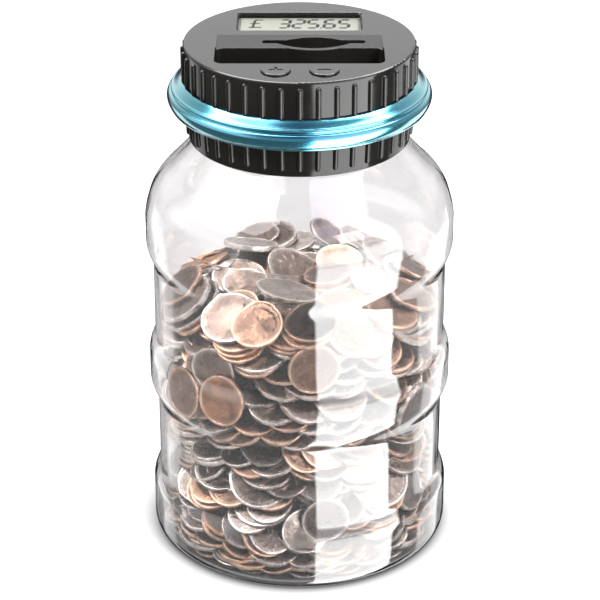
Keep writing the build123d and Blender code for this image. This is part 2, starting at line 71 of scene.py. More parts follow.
def add_object(name, data):
    made = bpy.data.objects.new(name, data)
    scene.collection.objects.link(made)
    return made


# ---------------------------------------------------------------- node helpers
class Tree:
    """Builds the node tree of a material or world."""

    def __init__(self, owner):
        owner.use_nodes = True
        self.owner = owner
        self.tree = owner.node_tree
        self.tree.nodes.clear()

    def node(self, kind, inputs=None, **props):
        """Adds a node; an input may be a value, a socket or a node (its first output)."""
        made = self.tree.nodes.new("ShaderNode" + kind)
        for prop, value in props.items():
            setattr(made, prop, value)
        for key, value in (inputs or {}).items():
            socket = made.inputs[key]
            if isinstance(value, bpy.types.Node):
                value = value.outputs[0]
            if isinstance(value, bpy.types.NodeSocket):
                self.tree.links.new(value, socket)
            elif socket.type == "RGBA" and len(value) == 3:
                socket.default_value = (*value, 1.0)
            else:
                socket.default_value = value
        return made

    def math(self, operation, first, second=0.0, clamp=False):
        inputs = {0: first, 1: second}
        return self.node("Math", inputs, operation=operation, use_clamp=clamp).outputs[0]

    def add(self, first, second):
        return self.math("ADD", first, second)

    def mul(self, first, second):
        return self.math("MULTIPLY", first, second)

    def vector(self, operation, first, second):
        return self.node("VectorMath", {0: first, 1: second}, operation=operation).outputs[0]

    def length(self, vector):
        return self.node("VectorMath", {0: vector}, operation="LENGTH").outputs["Value"]

    def combine(self, x, y, z):
        return self.node("CombineXYZ", {"X": x, "Y": y, "Z": z}).outputs[0]

    def separate(self, vector):
        return self.node("SeparateXYZ", {"Vector": vector}).outputs

    def object_space(self):
        return self.node("TexCoord").outputs["Object"]

    def mapped(self, source, scale, rotation=(0.0, 0.0, 0.0)):
        inputs = {"Vector": source, "Rotation": rotation, "Scale": scale}
        return self.node("Mapping", inputs).outputs[0]

    def millimetres(self):
        """Object coordinates in millimetres."""
        return self.mapped(self.object_space(), scale=(1000.0, 1000.0, 1000.0))

    def noise(self, vector, scale, detail=3.0, rough=0.5, distortion=0.0):
        inputs = {"Vector": vector, "Scale": scale, "Detail": detail,
                  "Roughness": rough, "Distortion": distortion}
        return self.node("TexNoise", inputs).outputs[0]

    def remap(self, value, span=(0.3, 0.7), to=(0.0, 1.0)):
        """Maps span onto to, clamped. The default span suits a noise value."""
        inputs = {"Value": value, "From Min": span[0], "From Max": span[1],
                  "To Min": to[0], "To Max": to[1]}
        return self.node("MapRange", inputs, clamp=True).outputs[0]

    def mix(self, factor, first, second):
        # On a colour Mix node, inputs 6 and 7 are the colours and output 2 the result.
        inputs = {0: factor, 6: first, 7: second}
        return self.node("Mix", inputs, data_type="RGBA").outputs[2]

    def ramp(self, factor, stops):
        made = self.node("ValToRGB", {0: factor})
        elements = made.color_ramp.elements
        while len(elements) < len(stops):
            elements.new(0.5)
        for element, (position, color) in zip(elements, stops):
            element.position = position
            element.color = (*color, 1.0)
        return made.outputs[0]

    def bump(self, height, strength=1.0, distance=0.001, **extra):
        inputs = {"Height": height, "Strength": strength, "Distance": distance, **extra}
        return self.node("Bump", inputs).outputs[0]

    def output(self, shader, kind="Material"):
        """Wires the shader to the output and returns the material or world."""
        self.node("Output" + kind, {"Surface": shader})
        return self.owner

    def principled(self, inputs):
        return self.output(self.node("BsdfPrincipled", inputs))


def material_tree(name):
    return Tree(bpy.data.materials.new(name))


# ---------------------------------------------------------------- materials
def moulded(name, color, rough=0.35, vary=0.25, orange=0.02, grain=0.0, scratch=0.15,
            edge=0.0, sub=0.0, shaded_side_specular=0.0):
    """Moulded plastic: orange peel, flow variation and fine scratches.

    orange and grain are bump heights, edge a bevel radius in mm, sub the subsurface weight
    and shaded_side_specular the specular level of faces that don't look up, a painted shade that
    dims their reflections (0 leaves it even).
    """
    tree = material_tree(name)
    place = tree.millimetres()
    flow = tree.noise(place, scale=0.045, detail=4.0, rough=0.55, distortion=0.4)
    smudge = tree.noise(place, scale=0.12, detail=5.0, rough=0.62, distortion=0.8)
    dark = tuple(max(0.0, part * (1 - vary)) for part in color)
    light = tuple(min(1.0, part * (1 + vary) + 0.0015) for part in color)
    base = tree.mix(tree.remap(flow), dark, light)

    # hairline scratches in two directions
    space = tree.object_space()
    lines_a = tree.mapped(space, scale=(60, 1400, 900), rotation=(0.3, 0.2, 0.7))
    lines_b = tree.mapped(space, scale=(1300, 70, 800), rotation=(0.1, -0.4, 2.1))
    marks_a = tree.remap(tree.noise(lines_a, scale=1.0, detail=2.0), span=(0.66, 0.74))
    marks_b = tree.remap(tree.noise(lines_b, scale=1.0, detail=2.0), span=(0.68, 0.76))
    marks = tree.math("MAXIMUM", marks_a, marks_b)

    dull = tree.remap(smudge, span=(0.25, 0.75), to=(rough * 0.8, rough * 1.25))
    height = tree.mul(tree.noise(place, scale=0.9, detail=2.0), orange)
    if grain:
        pits = tree.noise(place, scale=7.0, detail=2.0, rough=0.6)
        height = tree.add(height, tree.mul(pits, grain))
    height = tree.math("SUBTRACT", height, tree.mul(marks, 0.002 * scratch))
    bevel = {"Normal": tree.node("Bevel", {"Radius": edge * MM}, samples=4)} if edge else {}
    inputs = {"Base Color": base, "Roughness": tree.add(dull, tree.mul(marks, scratch * 0.25)),
              "IOR": 1.5, "Normal": tree.bump(height, **bevel), "Coat Roughness": 0.08}
    # painted shade: faces that don't look up get a lower specular level, so their reflections
    # come out dimmer than on the top
    if shaded_side_specular:
        up = tree.separate(tree.node("NewGeometry").outputs["Normal"])[2]
        inputs["Specular IOR Level"] = tree.remap(up, span=(0.35, 0.75), to=(shaded_side_specular, 0.5))
    if sub:
        inputs["Subsurface Weight"] = sub
        inputs["Subsurface Scale"] = 0.002
    return tree.principled(inputs)


def metal(name, color, rough=0.28, brush=(900, 900, 900), tarnish=None):
    """Metal with fine brushing, uneven roughness and optional patches of tarnish."""
    tree = material_tree(name)
    place = tree.millimetres()
    cloud = tree.noise(place, scale=0.3, detail=5.0, rough=0.6, distortion=0.5)
    fine = tree.noise(place, scale=4.0, rough=0.6)
    dark = tuple(part * (1 - 0.15) for part in color)
    base = tree.mix(tree.remap(cloud), dark, color)
    if tarnish:
        patches = tree.noise(place, scale=0.8, detail=5.0, rough=0.65)
        base = tree.mix(tree.remap(patches, span=(0.5, 0.72), to=(0.0, 0.7)), base, tarnish)
    line = tree.noise(tree.mapped(tree.object_space(), scale=brush), scale=3.0, rough=0.6)
    wear = tree.add(tree.mul(line, 0.6), tree.mul(fine, 0.4))
    return tree.principled({
        "Base Color": base, "Metallic": 1.0,
        "Roughness": tree.remap(wear, to=(rough * 0.75, rough * 1.35)),
        "Normal": tree.bump(tree.mul(line, 0.004))})


def circuit(name):
    """Green board: solder mask over copper tracks, tinned pads and a fine glass weave."""
    tree = material_tree(name)
    place = tree.millimetres()
    bricks = {"Vector": place, "Scale": 0.55, "Mortar Size": 0.09, "Mortar Smooth": 0.1,
              "Bias": 0.0, "Brick Width": 2.3, "Row Height": 0.62}
    track = tree.remap(tree.node("TexBrick", bricks, offset=0.37).outputs["Fac"])
    cells = tree.node("TexVoronoi", {"Vector": place, "Scale": 0.33}, feature="F1")
    pad = tree.remap(cells.outputs["Distance"], span=(0.17, 0.2), to=(1.0, 0.0))
    weave = tree.noise(place, scale=6.0, detail=2.0)
    cloud = tree.remap(tree.noise(place, scale=0.15))
    base = tree.mix(track, tree.mix(cloud, (0.012, 0.10, 0.035), (0.02, 0.15, 0.05)),
                    (0.05, 0.24, 0.08))
    raised = tree.add(tree.mul(pad, 0.05), tree.mul(weave, 0.006))
    return tree.principled({
        "Base Color": tree.mix(pad, base, (0.72, 0.70, 0.66)),
        "Metallic": tree.mul(pad, 0.9),
        "Roughness": tree.remap(weave, to=(0.25, 0.4)),
        "Normal": tree.bump(tree.add(tree.mul(track, 0.03), raised))})


def cell_jacket(name, toward):
    """Battery sleeve: amber band and pale line at the positive end, bare metal at both ends.

    toward is 1 or -1, the X direction of the positive end.
    """
    tree = material_tree(name)
    place = tree.millimetres()
    along = tree.mul(tree.separate(place)[0], toward)
    band = tree.remap(along, span=(10.4, 10.6))
    line = tree.mul(tree.remap(along, span=(9.2, 9.3)),
                    tree.remap(along, span=(9.8, 9.9), to=(1.0, 0.0)))
    ends = tree.math("ADD", tree.remap(along, span=(22.3, 22.4)),
                     tree.remap(along, span=(-19.8, -19.7), to=(1.0, 0.0)), clamp=True)
    cloud = tree.noise(place, scale=0.4, detail=4.0, rough=0.6)
    base = tree.mix(cloud, (0.02, 0.022, 0.026), (0.035, 0.036, 0.04))
    base = tree.mix(band, base, (0.55, 0.30, 0.05))
    base = tree.mix(line, base, (0.75, 0.73, 0.68))
    return tree.principled({
        "Base Color": tree.mix(ends, base, (0.68, 0.68, 0.68)),
        "Metallic": tree.add(0.45, tree.mul(ends, 0.5)),
        "Roughness": tree.remap(cloud, to=(0.24, 0.36)),
        "Coat Weight": 0.4, "Coat Roughness": 0.1,
        "Normal": tree.bump(cloud, strength=0.05, distance=0.0005)})


def clear_pet(name):
    """Clear blown PET: faint tint, slight waves, hairline scuffs. Shadow rays pass through."""
    tree = material_tree(name)
    place = tree.millimetres()
    space = tree.object_space()
    wave = tree.noise(tree.mapped(space, scale=(1000, 1000, 260)),
                      scale=0.05, detail=2.0, rough=0.45)
    lines = tree.mapped(space, scale=(160, 160, 2600), rotation=(0.2, 0.1, 0.4))
    scuff = tree.remap(tree.noise(lines, scale=1.0, detail=2.0), span=(0.70, 0.78))
    height = tree.add(tree.mul(wave, 0.22), tree.mul(scuff, -0.002))
    smudge = tree.noise(place, scale=0.2, detail=4.0, rough=0.6)
    haze = tree.remap(smudge, span=(0.35, 0.75), to=(0.0, 0.02))
    glass = tree.node("BsdfPrincipled", {
        "Base Color": (0.948, 0.935, 0.942), "Transmission Weight": 1.0, "IOR": 1.575,
        "Roughness": tree.add(haze, tree.mul(scuff, 0.05)), "Normal": tree.bump(height)})
    through = tree.node("BsdfTransparent", {"Color": (0.955, 0.945, 0.955)})
    shadow = tree.node("LightPath").outputs["Is Shadow Ray"]
    return tree.output(tree.node("MixShader", {0: shadow, 1: glass, 2: through}))


def window(name):
    """Thin clear acrylic: see-through, with a soft reflection that grows at low angles."""
    tree = material_tree(name)
    haze = tree.noise(tree.millimetres(), scale=0.35, detail=4.0, rough=0.6)
    mirror = tree.node("BsdfGlossy", {"Color": (1, 1, 1),
                                      "Roughness": tree.remap(haze, to=(0.02, 0.09))})
    through = tree.node("BsdfTransparent", {"Color": (0.97, 0.98, 0.96)})
    share = tree.mul(tree.node("Fresnel", {"IOR": 1.35}), 0.3)
    return tree.output(tree.node("MixShader", {0: share, 1: through, 2: mirror}))


def lcd_glass(name):
    """Reflective liquid crystal cell: pale grey-green with a fine reflector grain."""
    tree = material_tree(name)
    place = tree.millimetres()
    grain = tree.noise(place, scale=9.0, detail=2.0, rough=0.6)
    cloud = tree.noise(place, scale=0.08, detail=2.0)
    base = tree.mix(tree.remap(grain), (0.42, 0.42, 0.37), (0.54, 0.53, 0.48))
    patches = tree.remap(cloud, span=(0.35, 0.65), to=(0.0, 0.35))
    return tree.principled({
        "Base Color": tree.mix(patches, base, (0.48, 0.50, 0.46)),
        "Roughness": 0.35, "Coat Weight": 0.3, "Coat Roughness": 0.05,
        "Normal": tree.bump(grain, strength=0.1, distance=0.0002)})


def blue_plate(name):
    """Plated cyan-blue metal: fine grain round the ring, with a painted sheen that pales it
    where it turns away.
    """
    tree = material_tree(name)
    place = tree.millimetres()
    x, y, z = tree.separate(place)
    radius = tree.length(place)
    angle = tree.math("ARCTAN2", y, x)
    lanes = tree.combine(tree.mul(angle, 1.2), tree.mul(z, 9.0), tree.mul(radius, 9.0))
    grain = tree.noise(lanes, scale=1.0, detail=4.0, rough=0.65)
    cloud = tree.noise(place, scale=0.05)
    # painted sheen: the ring's own teal is painted paler towards grazing angles, up to
    # near-white cyan at the edge
    facing = tree.node("LayerWeight", {"Blend": 0.35}).outputs["Facing"]
    base = tree.ramp(facing, [(0.0, (0.030, 0.22, 0.32)), (0.35, (0.045, 0.31, 0.36)),
                              (0.75, (0.10, 0.40, 0.43)), (1.0, (0.50, 0.80, 0.82))])
    patches = tree.remap(cloud, span=(0.35, 0.65), to=(0.0, 0.3))
    return tree.principled({
        "Base Color": tree.mix(patches, base, (0.05, 0.20, 0.40)),
        "Metallic": 0.92, "Roughness": tree.remap(grain, to=(0.10, 0.18)),
        "Normal": tree.bump(grain, strength=0.35, distance=0.00004),
        "Coat Weight": 1.0, "Coat IOR": 1.6, "Coat Roughness": 0.05})


def liner(name):
    """Foam liner with a closed-cell skin."""
    tree = material_tree(name)
    place = tree.millimetres()
    cells = tree.node("TexVoronoi", {"Vector": place, "Scale": 3.0},
                      feature="DISTANCE_TO_EDGE").outputs["Distance"]
    cloud = tree.remap(tree.noise(place, scale=1.0, detail=4.0, rough=0.6))
    return tree.principled({
        "Base Color": tree.mix(cloud, (0.78, 0.78, 0.75), (0.88, 0.88, 0.86)),
        "Roughness": 0.6, "Normal": tree.bump(cells, strength=0.3, distance=0.0001),
        "Subsurface Weight": 0.2, "Subsurface Scale": 0.001})


def lcd_ink(name):
    tree = material_tree(name)
    cloud = tree.noise(tree.millimetres(), scale=3.0, detail=2.0)
    return tree.principled({
        "Base Color": tree.mix(cloud, (0.002, 0.002, 0.003), (0.006, 0.006, 0.006)),
        "Roughness": 0.6, "Specular IOR Level": 0.05})


# Settings shared by several pieces
GLOSS_BLACK = dict(color=(0.0115, 0.0108, 0.0100), rough=0.10, orange=0.003)
CAP = dict(color=(0.012, 0.012, 0.013), rough=0.2, orange=0.006, scratch=0.4, edge=0.2)
PLUNGER = dict(color=(0.22, 0.22, 0.23), rough=0.4)
CHUTE = dict(color=(0.74, 0.74, 0.72), rough=0.4, vary=0.05, grain=0.003)
LEAD = dict(rough=0.38, orange=0.02)
ZINC = (0.62, 0.62, 0.60)
WORN_ZINC = dict(color=(0.60, 0.60, 0.58), rough=0.3, tarnish=(0.32, 0.31, 0.28))
NICKEL = (0.68, 0.67, 0.64)

MATERIALS = {
    "top_shell": moulded("black_gloss_top", **GLOSS_BLACK, scratch=0.35, edge=0.45, shaded_side_specular=0.22),
    "base_shell": moulded("black_gloss_skirt", **GLOSS_BLACK, scratch=0.3, edge=0.22,
                          shaded_side_specular=0.18),
    "battery_door": moulded("black_satin_door", (0.014, 0.014, 0.015), rough=0.38, orange=0.01,
                            grain=0.004, scratch=0.4, edge=0.15),
    "lcd_window": window("acrylic_window"),
    "lcd_panel": lcd_glass("lcd_cell"),
    "lcd_frame": moulded("white_frame", (0.78, 0.78, 0.76), rough=0.45, vary=0.04, scratch=0.1),
    "zebra_strips": moulded("layered_silicone", (0.55, 0.50, 0.40), rough=0.6, vary=0.2,
                            grain=0.01),
    "main_pcb": circuit("circuit_board"),
    "button_pcb": circuit("button_board"),
    "sensor_pcb": circuit("sensor_board"),
    "chip_blob": moulded("black_epoxy", (0.012, 0.012, 0.012), rough=0.12, orange=0.05,
                         scratch=0.0),
    "pcb_components": moulded("component_body", (0.20, 0.15, 0.10), rough=0.4, vary=0.4),
    "switch_bodies": moulded("switch_black", (0.02, 0.02, 0.02), rough=0.5, grain=0.006),
    "plus_button": moulded("button_cap_plus", **CAP),
    "minus_button": moulded("button_cap_minus", **CAP),
    "plus_plunger": moulded("plunger_grey_a", **PLUNGER),
    "minus_plunger": moulded("plunger_grey_b", **PLUNGER),
    "chute_rear": moulded("chute_white_rear", **CHUTE),
    "chute_front": moulded("chute_white_front", **CHUTE),
    "sensor_lever": moulded("acetal_white", (0.80, 0.80, 0.78), vary=0.04, sub=0.15),
    "chute_screws": metal("zinc_chute_screws", ZINC, rough=0.3),
    "case_screws": metal("zinc_case_screws", **WORN_ZINC),
    "board_screws": metal("zinc_board_screws", ZINC),
    "door_screw": metal("zinc_door_screw", **WORN_ZINC),
    "lever_pin": metal("ground_pin", (0.64, 0.64, 0.65), rough=0.2, brush=(3000, 100, 3000)),
    "wiper": metal("bronze_wiper", (0.72, 0.44, 0.20), rough=0.25),
    "lever_spring": metal("spring_wire", (0.60, 0.60, 0.60), rough=0.25),
    "battery_springs": metal("nickel_springs", NICKEL, rough=0.22),
    "battery_plates": metal("nickel_plates", NICKEL, rough=0.24, brush=(200, 2600, 2600)),
    "battery_a": cell_jacket("cell_sleeve_a", toward=1.0),
    "battery_b": cell_jacket("cell_sleeve_b", toward=-1.0),
    "battery_lead_red": moulded("pvc_red", (0.50, 0.015, 0.012), **LEAD),
    "battery_lead_black": moulded("pvc_black", (0.015, 0.015, 0.015), **LEAD),
    "signal_leads": moulded("pvc_grey", (0.30, 0.30, 0.32), **LEAD),
    "seal_liner": liner("foam_liner"),
}


def shade_smooth(mesh, sharp_degrees=None):
    for polygon in mesh.polygons:
        polygon.use_smooth = True
    if sharp_degrees:
        mesh.set_sharp_from_angle(angle=math.radians(sharp_degrees))


for piece, obj in frame["nodes"].items():
    if piece in MATERIALS:
        obj.data.materials.clear()
        obj.data.materials.append(MATERIALS[piece])
    shade_smooth(obj.data, sharp_degrees=30)


# ---------------------------------------------------------------- lathe work
# Profiles are lists of (radius, z) in mm.
def smooth_step(start, end, steps=14):
    """Points from start to end with vertical tangents at both."""
    out = []
    for i in range(steps + 1):
        t = i / steps
        ease = 3 * t * t - 2 * t ** 3
        out.append((start[0] + (end[0] - start[0]) * ease, start[1] + (end[1] - start[1]) * t))
    return out


def spline(points, per):
    """Centripetal Catmull-Rom through the points, with per steps to each span."""
    def between(first, second, start, end, t):
        return (end - t) / (end - start) * first + (t - start) / (end - start) * second

    ctrl = [np.array(point, float) for point in points]
    ctrl = [2 * ctrl[0] - ctrl[1]] + ctrl + [2 * ctrl[-1] - ctrl[-2]]
    out = []
    for i in range(1, len(ctrl) - 2):
        four = ctrl[i - 1:i + 3]
        knots = [0.0]
        for first, second in zip(four, four[1:]):
            knots.append(knots[-1] + max(np.linalg.norm(second - first), 1e-6) ** 0.5)
        for k in range(per):
            t = knots[1] + (knots[2] - knots[1]) * k / per
            level = four
            # each pass blends neighbours; the first two widen their knot range
            for reach, offset in ((1, 0), (2, 0), (1, 1)):
                level = [between(level[j], level[j + 1],
                                 knots[j + offset], knots[j + offset + reach], t)
                         for j in range(len(level) - 1)]
            out.append(tuple(level[0]))
    out.append(tuple(ctrl[-2]))
    return out


def arc(center, radii, start, end, steps):
    """Points on an ellipse between two angles in degrees."""
    out = []
    for i in range(steps + 1):
        angle = math.radians(start + (end - start) * i / steps)
        out.append((center[0] + radii[0] * math.cos(angle),
                    center[1] + radii[1] * math.sin(angle)))
    return out


def thin(points, gap=0.02):
    """Drops points that nearly repeat the one before."""
    out = [points[0]]
    for point in points[1:]:
        if math.hypot(point[0] - out[-1][0], point[1] - out[-1][1]) > gap:
            out.append(point)
    return out


def lathe(name, profile, seg, material, closed=False, shape=None):
    """Turns a profile about Z. shape(radius, z, angle) may move radii and heights."""
    profile = thin(profile)
    starts_on_axis = profile[0][0] < 1e-6
    ends_on_axis = profile[-1][0] < 1e-6
    rows = np.array(profile[int(starts_on_axis):len(profile) - int(ends_on_axis)])
    count = len(rows)
    radius = np.repeat(rows[:, :1], seg, 1)
    z = np.repeat(rows[:, 1:], seg, 1)
    turn = np.linspace(0, 2 * math.pi, seg, endpoint=False)
    angle = np.repeat(turn[None, :], count, 0)
    if shape is not None:
        radius, z = shape(radius, z, angle)
    verts = np.stack([radius * np.cos(angle), radius * np.sin(angle), z], 2)
    verts = (verts.reshape(-1, 3) * MM).tolist()
    faces = []
    for i in range(count if closed else count - 1):
        low, high = i * seg, (i + 1) % count * seg
        for k in range(seg):
            after = (k + 1) % seg
            faces.append((low + k, low + after, high + after, high + k))
    if starts_on_axis:
        verts.append((0, 0, profile[0][1] * MM))
        pole = len(verts) - 1
        faces += [(pole, (k + 1) % seg, k) for k in range(seg)]
    if ends_on_axis:
        verts.append((0, 0, profile[-1][1] * MM))
        pole = len(verts) - 1
        last = (count - 1) * seg
        faces += [(pole, last + k, last + (k + 1) % seg) for k in range(seg)]
    mesh = bpy.data.meshes.new(name)
    mesh.from_pydata(verts, [], faces)
    bm = bmesh.new()
    bm.from_mesh(mesh)
    bmesh.ops.recalc_face_normals(bm, faces=bm.faces)
    bm.to_mesh(mesh)
    bm.free()
    shade_smooth(mesh)
    mesh.materials.append(material)
    return add_object(name, mesh)


# ---------------------------------------------------------------- the jar
WALL = 1.2
# outer radii, from the foot up
FOOT, LOW_WAIST, BELLY, HIGH_WAIST, CHEST = 56.8, 54.3, 57.2, 54.8, 57.4
NECK, NECK_BORE = 37.5, 36.1
LIP = 0.5       # rounding of the mouth's rim
LIP_Z = 173.1   # centre of that rounding
SHOULDER = [
    (CHEST, 131.5), (56.9, 134.6), (56.1, 137.6), (55.0, 141.0), (53.2, 144.4), (50.9, 147.3),
    (48.4, 149.9), (44.7, 153.9), (41.3, 157.7), (39.0, 160.6), (37.9, 162.4), (NECK, 164.2)]
# the neck's raised thread
THREAD_START, THREAD_PITCH, THREAD_TURNS = 166.0, 5.0, 1.15
THREAD_DEPTH, THREAD_HALF, THREAD_FLANK = 1.38, 1.12, 0.55
THREAD_EASE = 0.035   # run-in at each end, in turns
# waviness of the blown wall: amplitude, lobes, radians per mm of height, phase
WAVES = [(0.05, 3, 0.05, 0.0), (0.035, 7, -0.11, 1.3), (0.02, 13, 0.17, 0.4)]


def jar_side(wall):
    """The two-waisted side, moved in by wall."""
    foot, low, belly, high, chest = (
        radius - wall for radius in (FOOT, LOW_WAIST, BELLY, HIGH_WAIST, CHEST))
    return ([(foot, z) for z in (5.0, 9.0, 14.0)]
            + smooth_step((foot, 19.5), (low, 27.5))
            + [(low, z) for z in (32, 38, 44, 50)]
            + smooth_step((low, 56.5), (belly, 65.5))
            + [(belly, 70.0)]
            + smooth_step((belly, 75.0), (high, 84.5))
            + [(high, z) for z in (90, 97, 104)]
            + smooth_step((high, 112.0), (chest, 121.5))
            + [(chest, 126.5)])


def inset(points, depth):
    """Moves a rising outline towards the axis, square to its run."""
    out = []
    for i, (r, z) in enumerate(points):
        before, after = points[max(i - 1, 0)], points[min(i + 1, len(points) - 1)]
        dr, dz = after[0] - before[0], after[1] - before[1]
        run = math.hypot(dr, dz)
        out.append((r - depth * dz / run, z + depth * dr / run))
    return out


def jar_profile():
    outer = [(0, 3.3), (1.2, 3.35), (1.9, 3.9), (2.6, 4.35), (8, 4.4), (18, 4.3)]
    outer += spline([(30, 4.0), (36.5, 3.6), (42.5, 2.5), (45.6, 0.9), (47.0, 0.12),
                     (48.2, 0.0)], per=5)
    outer += [(50.0, 0.0), (51.4, 0.0)]
    outer += arc((FOOT - 4.4, 5.0), (4.4, 5.0), -90, 0, 12)
    outer += jar_side(0) + spline(SHOULDER, per=5)
    outer += [(NECK, 164.6 + 0.22 * i) for i in range(1, 38)]
    outer += arc((NECK - LIP, LIP_Z), (LIP, LIP), 0, 90, 5)
    outer += arc((NECK_BORE + LIP, LIP_Z), (LIP, LIP), 90, 180, 5)
    inner = [(0, 6.0), (15, 5.85)]
    inner += spline([(30, 5.6), (38, 4.9), (43.4, 3.9), (47.5, 2.1), (51.2, 1.5)], per=4)
    inner += arc((51.6, 5.4), (4.0, 3.9), -80, 0, 10)
    inner += [point for point in jar_side(WALL) if point[1] > 6.0]
    inner += spline([(CHEST - WALL, 131.5)] + inset(SHOULDER, WALL)[1:-1]
                    + [(NECK_BORE, 164.9)], per=4)
    inner += [(NECK_BORE, 167.5), (NECK_BORE, 170.5)]
    return outer + inner[::-1]


def jar_shape(radius, z, angle):
    """Adds the thread on the neck and the waviness of the body."""
    thread = np.zeros_like(radius)
    for lap in range(2):
        turns = angle / (2 * math.pi) + lap
        live = np.clip(np.minimum(turns, THREAD_TURNS - turns) / THREAD_EASE, 0, 1)
        live = live * live * (3 - 2 * live)
        off = np.abs(z - (THREAD_START + THREAD_PITCH * turns))
        ridge = np.clip((THREAD_HALF - off) / THREAD_FLANK, 0, 1)
        thread = np.maximum(thread, THREAD_DEPTH * live * ridge)
    neck = (radius > 37.3) & (z > 164.3) & (z < 173.2)
    body = np.clip((z - 6) / 10, 0, 1) * np.clip((160 - z) / 12, 0, 1) * (radius > 40)
    wave = sum(size * np.sin(lobes * angle + z * rise + phase)
               for size, lobes, rise, phase in WAVES)
    return radius + np.where(neck, thread, 0) + body * wave, z


jar = lathe("jar_clear", jar_profile(), seg=288, material=clear_pet("clear_pet"),
            shape=jar_shape)
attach(jar, "jar")
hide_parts("jar_body")

# ---------------------------------------------------------------- the blue ring
BORE = 42.12
RING_PROFILE = (
    # bore, upper lip and the slope down to the step
    [(BORE, 178.0), (BORE, 180.5), (BORE, 183.2), (BORE, 184.45)]
    + arc((BORE + 0.38, 184.55), (0.38, 0.38), 180, 75, 6)
    + spline([(42.9, 184.8), (43.9, 184.1), (45.0, 183.2), (45.9, 182.55)], per=3)
    + arc((45.95, 181.85), (0.75, 0.7), 75, -20, 7)
    + [(46.42, 181.35), (46.45, 181.0)]
    # bulge round the outside
    + spline([(46.6, 180.85), (47.2, 180.75), (47.75, 180.2), (48.12, 179.4), (48.2, 178.6),
              (48.05, 177.5), (47.6, 176.4), (46.9, 175.4)], per=4)
    # underside and the small inner flange
    + arc((46.35, 175.3), (0.55, 0.45), -10, -90, 5)
    + [(45.2, 174.82), (43.6, 174.8), (42.6, 174.8)]
    + arc((42.55, 175.05), (0.25, 0.25), -90, -180, 4)
    + [(42.3, 175.8), (42.3, 176.4), (41.4, 176.4), (40.6, 176.4), (40.6, 177.2),
       (40.6, 178.0), (41.4, 178.0)])
ring = lathe("accent_ring_turned", RING_PROFILE, seg=320, closed=True,
             material=blue_plate("cyan_plate"))
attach(ring, "lid")
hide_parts("accent_ring")

# ---------------------------------------------------------------- display digits
DIGIT_W, DIGIT_H, STROKE = 3.7, 8.6, 1.25
SLANT = 0.12        # x shift per unit of height
BASELINE = 18.9     # y of the digits' lowest bars
DIGITS = [("3", -7.9), ("2", -2.6), ("5", 2.7), ("6", 8.8), ("5", 14.1)]   # digit, left x
LIT = {"2": "abged", "3": "abgcd", "5": "afgcd", "6": "afgedc"}
POINT_X, POINT = 7.35, 0.9   # decimal point: left edge and size
SIGN_X, SIGN_W = -18.8, 4.6
# the currency sign: foot, crossbar, stem and top hook, as (x, y) from its lower left
SIGN = [
    [(0, 0), (SIGN_W, 0), (SIGN_W + 0.3, 1.0), (0.0, 1.0)],
    [(0.1, 4.3), (3.6, 4.3), (3.6, 5.2), (0.1, 5.2)],
    [(1.0, 0.9), (2.0, 0.9), (2.0, 7.9), (1.0, 7.9)],
    [(1.0, 8.0), (1.9, 8.9), (4.2, 8.9), (4.8, 8.1), (3.9, 8.1), (3.6, 8.0), (2.2, 8.0)]]


def seven_segment(digit):
    """Pointed bars of one digit from its lower left corner, upright."""
    gap, half = STROKE * 0.16, STROKE / 2

    def bar(start, end, across):
        start, end = start + gap, end - gap
        return [(start, across), (start + half, across + half), (end - half, across + half),
                (end, across), (end - half, across - half), (start + half, across - half)]

    def upright(start, end, across):
        return [(x, y) for y, x in bar(start, end, across)]

    middle = DIGIT_H / 2
    bars = {"a": bar(0, DIGIT_W, DIGIT_H), "g": bar(0, DIGIT_W, middle),
            "d": bar(0, DIGIT_W, 0), "f": upright(middle, DIGIT_H, 0),
            "b": upright(middle, DIGIT_H, DIGIT_W), "e": upright(0, middle, 0),
            "c": upright(0, middle, DIGIT_W)}
    return [bars[letter] for letter in LIT[digit]]


def slanted(outlines, left):
    return [[(left + x + y * SLANT, BASELINE + y) for x, y in outline]
            for outline in outlines]


def display_segments(outlines, bottom, top, material):
    """One mesh of thin prisms, lit as the display."""
    bm = bmesh.new()
    for outline in outlines:
        low = [bm.verts.new((x * MM, y * MM, bottom * MM)) for x, y in outline]
        high = [bm.verts.new((x * MM, y * MM, top * MM)) for x, y in outline]
        bm.faces.new(low[::-1])
        bm.faces.new(high)
        for i in range(len(outline)):
            j = (i + 1) % len(outline)
            bm.faces.new((low[i], low[j], high[j], high[i]))
    bmesh.ops.recalc_face_normals(bm, faces=bm.faces)
    mesh = bpy.data.meshes.new("lcd_segments")
    bm.to_mesh(mesh)
    bm.free()
    made = add_object("lcd_segments", mesh)
    mesh.materials.append(material)
    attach(made, "lid")


ink = lcd_ink("lcd_ink")
outlines = []
for digit, left in DIGITS:
    outlines += slanted(seven_segment(digit), left)
point_low = BASELINE - 0.5
outlines.append([(POINT_X, point_low), (POINT_X + POINT, point_low),
                 (POINT_X + POINT, point_low + POINT), (POINT_X, point_low + POINT)])
outlines += slanted(SIGN, SIGN_X)
lcd_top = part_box("lcd_panel")[1].z / MM
display_segments(outlines, lcd_top - 0.05, lcd_top + 0.004, ink)

# ---------------------------------------------------------------- staged coins
# Coins in the jar are staging, not part of the object.
COIN_KINDS = [   # diameter, thickness, metal
    (24.3, 1.75, "silver"), (17.9, 1.45, "silver"), (19.1, 1.55, "copper"),
    (21.2, 1.9, "silver")]
